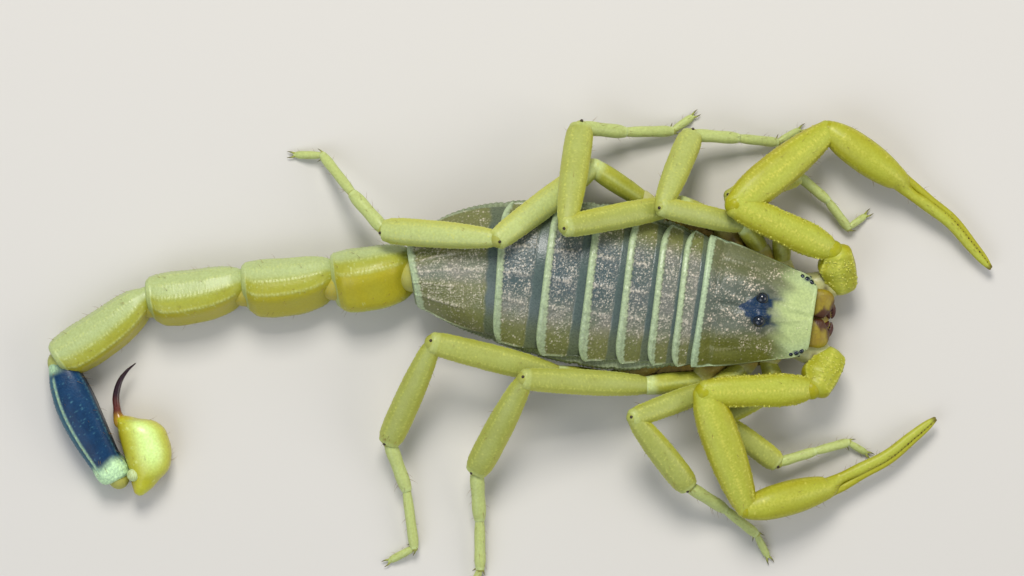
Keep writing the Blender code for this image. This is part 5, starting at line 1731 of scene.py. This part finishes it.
        shop.piece(f"{plan.node}_claws", [self.claws(joints), *beads], Finish.LIMB, "limb")


# ---- palps

@dataclass(frozen=True)
class PalpPlan:
    """How one pedipalp lies."""

    side: Side
    headings: Floats
    heights: Floats
    base: Point = PALP_BASE
    lengths: Floats = (3.6, 10.1, 11.7, 8.6, 5.7, 5.7)

    def joints(self) -> Array:
        """Centres of its joints; the last two are in the fingers."""
        return chain_points(self.base, self.lengths, self.headings, self.heights, self.side.value)


@dataclass
class Palp:
    """One pedipalp: a blocky trochanter, an angular femur, a swollen patella, and the slim pincer."""

    plan: PalpPlan
    coat: Coat
    columns: int = 60
    trochanter: Rows = ((-0.32, 0.3, 0.9), (-0.15, 0.35, 1.3), (0.0, 0.38, 1.5), (0.3, 0.33, 1.62),
                        (0.6, 0.2, 1.72), (0.8, 0.35, 1.45), (1.0, 0.45, 1.2), (1.12, 0.6, 0.8))
    trochanter_ridges: Keys = ((32, 0.16), (148, 0.14), (90, 0.08), (-30, 0.09), (-150, 0.09))
    femur_profile: Keys = ((0.0, 0.62), (0.08, 0.82), (0.2, 1.0), (0.55, 1.0), (0.85, 0.95), (1.0, 0.8))
    femur_size: Pair = (1.4, 1.15)
    femur_ridges: Keys = ((22, 0.12), (90, 0.05), (158, 0.12), (-35, 0.11), (-145, 0.11), (180, 0.08),
                          (0, 0.08))
    patella_profile: Keys = ((0.0, 0.62), (0.1, 0.82), (0.22, 0.96), (0.42, 1.0), (0.65, 0.93), (0.85, 0.76),
                             (1.0, 0.56))
    patella_size: Pair = (1.75, 1.35)
    patella_ridges: Keys = ((40, 0.07), (90, 0.05), (140, 0.07), (0, 0.05), (180, 0.07), (-60, 0.06),
                            (-120, 0.06))
    hand_profile: Keys = ((-0.08, 0.4), (0.0, 0.6), (0.15, 0.86), (0.4, 1.0), (0.65, 0.95), (0.82, 0.8),
                          (0.93, 0.64))
    hand_size: Pair = (1.58, 1.45)
    pincer: Keys = ((0.06, 1.75), (0.5, 1.5), (1.0, 1.36), (1.5, 1.15), (1.85, 0.8), (2.0, 0.4))
    fixed: Pair = (-0.15, 0.36)
    movable: Pair = (0.29, 0.24)
    movable_drop: float = 0.16

    def segment(self, start: Array, end: Array, profile: Rows, widths: Pair,
                ridges: Keys, power: float, spacing: float, seed: int) -> Tube:
        """A ridged segment.

        Args:
            start: Its first joint.
            end: Its second joint.
            profile: Rows of (share, scale).
            widths: Its half width and half depth.
            ridges: Angle and height of each ridge.
            power: Squareness of its section.
            spacing: Distance between the beads of its ridges.
            seed: Seed of its unevenness.

        Returns:
            The dressed tube.
        """
        rows = round(distance(start, end) * PLATE_DETAIL)
        tube = straight_tube(start, end, profile, *widths, self.columns, rows, power, reach=(0.75, 0.6))
        for ridge_seed, (at, height) in enumerate(ridges, start=seed):
            tube.carina(at, height, 0.12, spacing, (0.05, 0.95), 0.3, 0.1, ridge_seed)
        tube.granulate(0.2, 0.015, 0.2, seed)
        edge = np.maximum(tube.near(0, 0.6), tube.near(180, 0.6))
        tube.mark(WARM, np.maximum(0.8 * tube.near(-90, 1.1), 0.6 * edge))
        # painted highlight: the upper side is made paler, as if lit from above
        tube.mark(PALE, 0.6 * tube.near(100, 0.8))
        rim_mark(tube, 0.95, 0.99, 0.4)
        return tube

    def line(self, joints: Array, reach: Array) -> Array:
        """Points of the pincer's middle line, at places from the knuckle (0) to the tips (2)."""
        return np.stack([np.interp(reach, (0, 1, 2), joints[4:, axis]) for axis in range(3)], axis=-1)

    def block(self, joints: Array, seed: int) -> Tube:
        """The trochanter: a blocky, skewed segment with coarse granules on top."""
        front = heading_vector(self.plan.headings[0] - 90, self.plan.side.value)
        stations = [(*(joints[0] + (joints[1] - joints[0]) * share + front * offset), half_width)
                    for share, offset, half_width in self.trochanter]
        tube = curved_tube(stations, 64, 110, 2.3, 0.85, unit(joints[1] - joints[0]))
        for ridge_seed, (at, height) in enumerate(self.trochanter_ridges, start=seed):
            tube.carina(at, height, 0.15, 0.36, (0.08, 0.9), 0.6, 0.1, ridge_seed)
        tube.granulate(0.26, 0.012, 0.2, seed + 1)
        tube.mark(WARM, np.maximum(0.8 * tube.near(-90, 1.5), 0.5 * tube.near(180, 0.6)))
        # painted highlight: the upper side is made paler, as if lit from above
        tube.mark(PALE, 0.4 * tube.near(90, 0.8))
        return tube

    def studs(self, tube: Tube, angles: Sequence[float], spread: float, count: int, size: float,
              seed: int) -> Surface:
        """Coarse granules standing on a tube.

        Args:
            tube: The tube that carries them.
            angles: Angles of the lines that they are scattered about, in degrees.
            spread: How far they stray from a line, in degrees.
            count: How many.
            size: Their mean radius.
            seed: Seed of the scatter.

        Returns:
            The granules.
        """
        rng = np.random.default_rng(seed)
        rows, columns = tube.lift.shape
        row = rng.integers(rows // 9, rows - rows // 9, count)
        turn = np.array(angles)[rng.integers(0, len(angles), count)] + spread * rng.standard_normal(count)
        column = (np.mod(turn, 360) / 360 * columns).astype(int) % columns
        place = tube.points[row, column] + tube.outward[row, column] * tube.lift[row, column, None]
        return balls(place, size * (0.7 + 0.6 * rng.random(count)), {BEAD: 0.9, PALE: 0.6}, 4, 7)

    def hand(self, joints: Array, outward: Array) -> Tube:
        """The slim hand, running on into the fixed finger on the inner side."""
        table = np.array(self.hand_profile)
        palm = joints[3] + (joints[4] - joints[3]) * table[:, :1]
        reach, width = np.array(self.pincer).T
        finger = self.line(joints, reach) + np.outer(self.fixed[0] * width, outward)
        stations = np.concatenate((np.column_stack((palm, table[:, 1] * self.hand_size[0])),
                                   np.column_stack((finger, self.fixed[1] * width))))
        tube = curved_tube(stations, 56, 270, 2.1, 0.97)
        for at in (30, 90, 150):
            tube.carina(at, 0.03, 0.22, 0.0, (0.04, 0.45), pale=0.15, warm=0.2)
        tube.mark(DARK, 0.7 * rise(0.968, 0.992, tube.share))
        tube.mark(WARM, 0.15 + 0.5 * tube.near(-90, 1.2))
        # painted highlight on the upper side, and the fingers a little paler
        tube.mark(PALE, 0.45 * tube.near(90, 0.8) + 0.15 * rise(0.5, 0.6, tube.share))
        tube.granulate(0.3, 0.01, 0.12, 17)
        return tube

    def finger(self, joints: Array, ways: list[Array], outward: Array) -> Tube:
        """The movable finger, outside the fixed one and a little lower."""
        reach, width = np.array(self.pincer).T
        path = (self.line(joints, reach) + np.outer(self.movable[0] * width, outward)
                - np.outer(self.movable_drop * width, UPWARD))
        root = [(*(joints[4] - ways[3] * back + outward * offset - UPWARD * 0.25), size)
                for back, offset, size in ((1.8, 0.3, 0.6), (0.9, 0.48, 0.52))]
        stations = np.concatenate((root, np.column_stack((path, self.movable[1] * width))))
        tube = curved_tube(stations, 32, 190, 2.1, 1.1)
        tube.mark(WARM, 0.35)
        # painted highlight: the upper side is made paler, as if lit from above
        tube.mark(PALE, 0.25 * tube.near(90, 0.8))
        tube.mark(DARK, 0.75 * rise(0.96, 0.99, tube.share))
        return tube

    def denticles(self, joints: Array, outward: Array) -> Surface:
        """The dark row of tiny teeth along the seam between the fingers."""
        reach = np.arange(0.55, 1.93, 0.07)
        width = np.interp(reach, *np.array(self.pincer).T)
        place = self.line(joints, reach) + np.outer(0.17 * width, outward) + np.outer(0.2 * width, UPWARD)
        size = np.where(np.arange(len(reach)) % 4 == 0, 0.095, 0.065) * rise(0.4, 1.2, reach)
        return balls(place, size, {DARK: 1.0}, 4, 7)

    def build(self, shop: Workshop) -> None:
        """Makes the pedipalp's pieces."""
        side, joints = self.plan.side, self.plan.joints()
        ways = directions(joints)
        outward = unit(np.cross(UPWARD, ways[4])) * side.value
        seed = 500 + 50 * (side is Side.LEFT)
        block = self.block(joints, seed)
        femur = self.segment(joints[1], joints[2], self.femur_profile, self.femur_size, self.femur_ridges,
                             2.6, 0.36, seed + 10)
        patella = self.segment(joints[2], joints[3], self.patella_profile, self.patella_size,
                               self.patella_ridges, 2.35, 0.3, seed + 20)
        hand, finger = self.hand(joints, outward), self.finger(joints, ways, outward)
        for tube, count, length in ((block, 10, 0.4), (femur, 18, 0.45), (patella, 18, 0.45),
                                    (hand, 44, 0.45), (finger, 20, 0.4)):
            self.coat.sow(tube, count, length, seed + count)
        skins = {"trochanter": [block.surface(), self.studs(block, (60, 90, 120), 22, 60, 0.085, seed)],
                 "femur": [femur.surface(), self.studs(femur, (0, 22, 158, 180), 4, 130, 0.08, seed + 3)],
                 "patella": [patella.surface(), self.studs(patella, (0, 180), 3, 50, 0.055, seed + 5)],
                 "hand": [hand.surface()],
                 "finger": [finger.surface(), self.denticles(joints, outward)]}
        for name, parts in skins.items():
            node = f"palp_{side.word}_{name}"
            shop.piece(f"{node}_shell", parts, Finish.PALP, "limb", node)
        soft = balls(joints[:4], (1.1, 0.98, 0.96, 0.86), {}, 14, 24)
        shop.piece(f"palp_{side.word}_membranes", soft, Finish.PALP, "limb")


# ---- tail

@dataclass(frozen=True)
class TailSegment:
    """A tail segment: its size, its roll to the animal's right, its heading and its far end's height."""

    length: float
    half_width: float
    half_depth: float
    roll: float
    heading: float
    end_height: float


@dataclass
class Tail:
    """The five tail segments, the bulb and the sting."""

    coat: Coat
    shape: TrunkShape
    start_place: float = 26.5
    start_height: float = 3.4
    segments: tuple[TailSegment, ...] = (
        TailSegment(7.1, 2.75, 2.7, 33, -164, 3.0), TailSegment(8.3, 2.55, 2.5, 58, -167, 2.62),
        TailSegment(8.8, 2.4, 2.4, 70, -164, 2.4), TailSegment(9.9, 2.2, 2.15, 80, -138, 2.1),
        TailSegment(11.6, 1.95, 1.95, 90, -56, 1.6))
    profile: Keys = ((0.0, 0.74), (0.08, 0.87), (0.28, 0.98), (0.6, 1.0), (0.88, 0.97), (0.96, 0.93),
                     (1.0, 0.9))
    last_profile: Keys = ((0.0, 0.62), (0.1, 0.8), (0.3, 1.0), (0.5, 1.0), (0.7, 0.9), (0.9, 0.78),
                          (1.0, 0.74))
    last_bow: float = 0.35
    columns: int = 84
    detail: int = 17
    power: float = 2.5
    caps: Pair = (0.6, 0.16)
    last_caps: Pair = (0.6, 0.35)
    telson_start: Point = (-25.3, 48.6, 2.05)
    telson_heading: float = 105.0
    bulb: Rows = ((-0.1, 0.4, 0.45), (0.15, 0.48, 0.6), (0.5, 0.7, 0.88), (1.15, 1.0, 1.28), (1.8, 1.4, 1.68),
                  (3.3, 1.56, 2.11), (4.8, 1.38, 2.2), (6.0, 1.08, 2.06), (6.65, 0.65, 1.66),
                  (7.0, -0.05, 1.02), (7.45, -0.65, 0.55))
    sting: Rows = ((6.4, -0.4, 0.95), (6.95, -0.68, 0.66), (7.45, -0.82, 0.46), (8.09, -0.84, 0.35),
                   (8.99, -0.84, 0.33), (9.85, -0.62, 0.3), (10.7, -0.2, 0.24), (11.44, 0.48, 0.15),
                   (12.05, 1.35, 0.05))
    dorsal: Keys = ((0.0, 0.26), (0.06, 0.42), (0.16, 0.66), (0.34, 0.9), (0.55, 1.0), (0.78, 1.0),
                    (0.9, 0.88), (0.96, 0.68), (1.0, 0.5))
    ventral: Keys = ((0.0, 0.74), (0.06, 0.86), (0.16, 0.95), (0.5, 1.0), (0.9, 1.0), (0.96, 0.96),
                     (1.0, 0.86))

    def joints(self) -> Array:
        """Centres of the tail's six joints."""
        start = self.shape.point(np.float64(self.start_place), np.float64(0.0), np.float64(self.start_height))
        kept = self.segments
        return chain_points(tuple(start), [s.length for s in kept], [s.heading for s in kept],
                            [s.end_height for s in kept])

    def ridges(self, number: int) -> list[tuple[float, float, float]]:
        """Angle from the dorsal line, height and spacing of each pair of ridges."""
        if number == 5:
            return [(40, 0.05, 0.35), (128, 0.17, 0.62), (180, 0.08, 0.32)]
        pairs = [(45, 0.11, 0.34), (77, 0.09, 0.34), (130, 0.09, 0.34), (163, 0.09, 0.34)]
        return pairs + [(101, 0.09 if number <= 2 else 0.06, 0.32)]

    def arched(self, start: Array, end: Array, plan: TailSegment, rows: int) -> Tube:
        """The plain tube of one of the first four segments.

        Its reach to the arched dorsal side is half_depth * dorsal(share), and to the straighter ventral side
        half_depth * ventral(share), so the middle line is moved by half of their difference.
        """
        straight = straight_tube(start, end, self.profile, 1.0, 1.0, 4, rows, 2.0, plan.roll, self.caps)
        share = straight.share[:, 0]
        way = unit(end - start)
        over = np.linalg.norm(straight.path - (start + share[:, None] * (end - start)), axis=1)
        cap = np.where(share < 0.5, self.caps[0] * self.profile[0][1], self.caps[1] * self.profile[-1][1])
        closing = rounding(over / cap)
        up, down = (smooth_curve(keys, share) for keys in (self.dorsal, self.ventral))
        path = (start + share[:, None] * (end - start)
                + (np.sign(share - 0.5) * over * plan.half_width)[:, None] * way
                + (plan.half_depth * (up - down) / 2)[:, None] * cross_axes(way, plan.roll)[1])
        width = plan.half_width * smooth_curve(self.profile, share) * closing
        depth = plan.half_depth * (up + down) / 2 * closing
        return Tube(path, width, depth, self.columns, self.power, plan.roll, share, way)

    def segment(self, number: int, start: Array, end: Array, plan: TailSegment) -> Tube:
        """One segment, with its ridges, granules and colours.

        Args:
            number: 1 to 5 from the trunk.
            start: Its first joint.
            end: Its second joint.
            plan: Its sizes.

        Returns:
            The dressed tube.
        """
        last = number == 5
        rows = round(plan.length * self.detail)
        if last:
            tube = straight_tube(start, end, self.last_profile, plan.half_width, plan.half_depth,
                                 self.columns, rows, self.power, plan.roll, self.last_caps, self.last_bow)
        else:
            tube = self.arched(start, end, plan, rows)
        for at, height, spacing in self.ridges(number):
            light = 0.2 if not last else 0.9 if at == 128 else 0.05
            for way in ((1,) if at == 180 else (1, -1)):
                tube.carina(90 + way * at, height, 0.13, spacing, (0.1, 0.95), light, seed=number * 20 + at)
        turn = np.abs(tube.arc(90)) / tube.radius
        inside = tube.near(90, 0.5)
        tube.lift -= 0.28 * inside * rise(0.0, 0.12, tube.share) * rise(-1.0, -0.8, -tube.share)
        tube.granulate(0.19, 0.02, 0.14 * (1 - inside), 200 + number)
        if last:
            collar = rise(0.835, 0.925, tube.share + 0.012 * np.sin(5 * tube.angle))
            lobes = 0.5 + 0.5 * np.cos(tube.angle * 9)
            tube.lift += 0.14 * collar * (0.6 + 0.4 * lobes) * rise(-1.0, -0.97, -tube.share)
            base = 0.7 * (1 - rise(0.03, 0.09, tube.share)) * rise(1.2, 2.2, turn)
            tube.mark(PALE, np.maximum(collar, base))
            tube.mark(WARM, 0.9 * rise(2.25, 2.5, turn) * (1 - collar))
            tube.mark(DARK, 0.85 * (1 - rise(0.2, 0.75, turn)) * (1 - collar))
        else:
            rim = rise(0.955, 0.975, tube.share)
            tube.lift += 0.06 * rim * rise(-1.0, -0.975, -tube.share)
            tube.mark(WARM, (0.8 * (1 - rise(0.5, 1.1, turn)) + 0.25 * hump(turn, 1.1, 0.3))
                      * (1 - 0.7 * rim))
            # painted reflection: the faces away from the dorsal line, which the roll lifts towards the sky,
            # are made paler as a painted sky reflection; the far rim is paler too
            tube.mark(PALE, np.maximum(0.5 * rim, 0.7 * rise(1.2, 1.6, turn)))
        return tube

    def telson_tube(self, stations: Rows, columns: int, rows: int, flat: float, across: bool) -> Tube:
        """A tube along (along, belly, radius) stations of the telson, cut across its length or its path."""
        along, belly = (heading_vector(self.telson_heading + turned) for turned in (0, -90))
        start = np.array(self.telson_start)
        return curved_tube([(*(start + along * a + belly * b), r) for a, b, r in stations], columns, rows,
                           2.0, flat, along if across else None)

    def build(self, shop: Workshop) -> None:
        """Makes the tail's pieces."""
        joints = self.joints()
        for number, (plan, start, end) in enumerate(zip(self.segments, joints, joints[1:]), start=1):
            tube = self.segment(number, start, end, plan)
            self.coat.sow(tube, 26 if number < 5 else 40, 0.55, 700 + number)
            finish, slot = (Finish.DARK_TAIL, "dark_tail") if number == 5 else (Finish.TAIL, "tail_plate")
            shop.piece(f"tail_{number}_shell", tube.surface(), finish, slot, f"metasoma_{number}")
        bulb = self.telson_tube(self.bulb, 72, 170, 0.95, True)
        turn = np.abs(bulb.arc(104)) / bulb.radius
        # painted highlight: a soft pale patch along the middle of the bulb's upper side
        middle = hump(turn, 0.0, 0.55) * rise(0.15, 0.5, bulb.share)
        bulb.mark(PALE, middle * rise(-0.97, -0.72, -bulb.share))
        sides = 0.75 * rise(0.6, 1.5, turn)
        bulb.mark(WARM, np.maximum(0.8 * rise(0.86, 0.98, bulb.share), sides))
        bulb.granulate(0.42, 0.012, 0.1, 31)
        self.coat.sow(bulb, 36, 0.6, 777, radius=0.02)
        shop.piece("telson_bulb", bulb.surface(), Finish.BULB, "tail_plate", "telson_vesicle")
        sting = self.telson_tube(self.sting, 28, 90, 1.0, False)
        sting.mark(WARM, 1 - rise(0.12, 0.26, sting.share))
        sting.mark(PALE, 0.4 * (1 - rise(0.05, 0.16, sting.share)))
        sting.mark(DARK, 0.9 * rise(0.26, 0.5, sting.share))
        shop.piece("sting_spine", sting.surface(), Finish.STING, "sting", "aculeus")
        telson = np.array(self.telson_start)
        along, belly = (heading_vector(self.telson_heading + turned) for turned in (0, -90))
        knob = telson + along * 1.9 + belly * 0.05
        centres = np.concatenate((joints[:5], [joints[5] * 0.85 + telson * 0.15, knob + UPWARD * 0.9]))
        sizes = np.array([0.62 * s.half_width for s in self.segments] + [0.95, 0.6])
        sizes[4] = 1.25
        warm = np.array((0.6, 0.9, 0.9, 0.7, 0.1, 0.5, 0.0))
        pale = np.array((0.1, 0.0, 0.0, 0.0, 0.2, 0.1, 1.0))
        soft = balls(centres, sizes, {WARM: warm, PALE: pale}, 20, 32)
        shop.piece("tail_membranes", soft, Finish.JOINT, "tail_plate")


# ---- stage

@dataclass
class Stage:
    """Camera, floor and light; none of it belongs to the model."""

    camera_place: Point = (0.004441, 0.000882, 0.3860)
    camera_turn: float = 8.5
    lens: float = 146.95
    sensor_width: float = 36.0
    clip: Pair = (0.02, 20.0)
    floor_size: float = 3.0
    floor_tone: Colour = (0.62, 0.6, 0.56)
    world_tone: Colour = (0.86, 0.91, 1.0)
    world_strength: float = 0.33
    lamps: tuple[tuple[Point, float, float, Colour], ...] = (
        ((0.26, 0.06, 0.34), 0.16, 1.5, (1.0, 0.97, 0.92)),
        ((-0.22, 0.16, 0.30), 0.30, 0.55, (0.88, 0.93, 1.0)),
        ((0.02, -0.34, 0.22), 0.24, 0.42, (1.0, 0.96, 0.9)))

    def camera(self) -> None:
        """A camera high over the model, looking straight down."""
        data = bpy.data.cameras.new("view_camera")
        data.lens, data.sensor_width = self.lens, self.sensor_width
        data.clip_start, data.clip_end = self.clip
        data.dof.use_dof = False
        sine, cosine = math.sin(math.radians(self.camera_turn)), math.cos(math.radians(self.camera_turn))
        columns = ((sine, -cosine, 0.0), (cosine, sine, 0.0), UPWARD, self.camera_place)
        bpy.context.scene.camera = linked("view_camera", data, columns)

    def floor(self) -> bpy.types.Object:
        """A pale plain floor at the model's feet."""
        half = self.floor_size / 2
        mesh = bpy.data.meshes.new("studio_floor")
        mesh.from_pydata([(-half, -half, 0.0), (half, -half, 0.0), (half, half, 0.0), (-half, half, 0.0)], [],
                         [(0, 1, 2, 3)])
        paint = Paint("studio_paper")
        mesh.materials.append(paint.shade({"Base Color": self.floor_tone, "Roughness": 0.9}))
        return linked("studio_floor", mesh)

    def lamp(self, number: int, place: Point, size: float, power: float, tone: Colour) -> None:
        """A soft square lamp turned to the model."""
        data = bpy.data.lights.new(f"lamp_{number}", "AREA")
        data.shape, data.size, data.energy, data.color = "SQUARE", size, power, tone
        back = unit(np.array(place))
        across = unit(np.cross(UPWARD, back))
        linked(f"lamp_{number}", data, (across, np.cross(back, across), back, place))

    def build(self) -> None:
        """Sets up the camera, the floor, the lamps and the plain world."""
        self.camera()
        self.floor()
        for number, lamp in enumerate(self.lamps, start=1):
            self.lamp(number, *lamp)
        world = bpy.data.worlds.new("plain_sky")
        world.use_nodes = True
        sky = world.node_tree.nodes["Background"]
        sky.inputs["Color"].default_value = (*self.world_tone, 1.0)
        sky.inputs["Strength"].default_value = self.world_strength
        scene = bpy.context.scene
        scene.world = world
        scene.view_settings.view_transform = "Standard"


# ---- main

LEG_LENGTHS = {1: (2.6, 6.0, 6.7, 3.7, 3.3, 2.1), 2: (3.0, 8.8, 8.7, 4.5, 3.9, 2.5),
               3: (5.0, 12.0, 10.9, 4.8, 4.6, 2.5), 4: (5.6, 12.0, 11.0, 4.8, 5.5, 2.7)}
LEG_HALF_WIDTHS = {1: (0.85, 0.82, 0.98, 0.45, 0.42, 0.3), 2: (0.9, 0.95, 1.12, 0.55, 0.45, 0.32),
                   3: (0.95, 1.08, 1.2, 0.62, 0.5, 0.34), 4: (0.95, 1.15, 1.15, 0.6, 0.46, 0.34)}
LEG_HEADINGS = {
    (Side.LEFT, 1): (100, 152, 25, -31, -44, 44), (Side.LEFT, 2): (135, 177, 75, 5, 3, 38),
    (Side.LEFT, 3): (164, -160, 90, 4, 10, 44), (Side.LEFT, 4): (156, -134, -176, 140, 137, -173),
    (Side.RIGHT, 1): (60, 143, 29, -25, -23, 22), (Side.RIGHT, 2): (137, 152, 43, 24, 30, 54),
    (Side.RIGHT, 3): (166, 175, 109, 78, 81, 100), (Side.RIGHT, 4): (179, -174, 106, 62, 74, 143)}
LEG_HEIGHTS = {
    (Side.LEFT, 1): (2.8, 3.6, 2.4, 1.5, 0.75, 0.17), (Side.LEFT, 2): (4.1, 8.1, 3.4, 2.0, 0.85, 0.18),
    (Side.LEFT, 3): (4.9, 10.5, 4.7, 2.1, 0.95, 0.19), (Side.LEFT, 4): (4.2, 9.3, 5.7, 3.8, 0.95, 0.19),
    (Side.RIGHT, 1): (2.7, 3.1, 2.1, 1.5, 0.75, 0.17), (Side.RIGHT, 2): (3.6, 6.8, 3.7, 1.8, 0.85, 0.18),
    (Side.RIGHT, 3): (3.9, 8.1, 2.9, 1.3, 0.9, 0.19), (Side.RIGHT, 4): (4.4, 7.1, 2.5, 1.5, 0.9, 0.19)}
# legs whose tops carry a stronger painted highlight, where the light falls most on them
TOP_HIGHLIGHT_LEGS = {(Side.LEFT, 4): 0.55, (Side.LEFT, 2): 0.25}
PALP_PLANS = (PalpPlan(Side.LEFT, (108, 164, 47, -27, -29, -41), (4.8, 6.8, 3.4, 2.5, 1.6, 1.2)),
              PalpPlan(Side.RIGHT, (108, 170, 61, -23, -36, -47), (4.5, 6.7, 4.4, 2.2, 1.9, 1.5)))


def main() -> None:
    """Builds the model piece by piece, then the stage."""
    logging.basicConfig(level=logging.INFO, format="%(message)s")
    shop = Workshop(Placement.from_carapace())
    shape = TrunkShape()
    coat = Coat()
    Trunk(shape).build(shop)
    Head(shape).build(shop)
    Underside().build(shop)
    for side in Side:
        for number, hip in HIPS.items():
            plan = LegPlan(number, side, hip, LEG_LENGTHS[number], LEG_HALF_WIDTHS[number],
                           LEG_HEADINGS[side, number], LEG_HEIGHTS[side, number],
                           TOP_HIGHLIGHT_LEGS.get((side, number), LegPlan.top_highlight))
            Leg(plan, coat).build(shop)
    for plan in PALP_PLANS:
        Palp(plan, coat).build(shop)
    Tail(coat, shape).build(shop)
    coat.build(shop)
    LOG.info("%d triangles in all", shop.triangles)
    Stage().build()


if __name__ == "__main__":
    main()
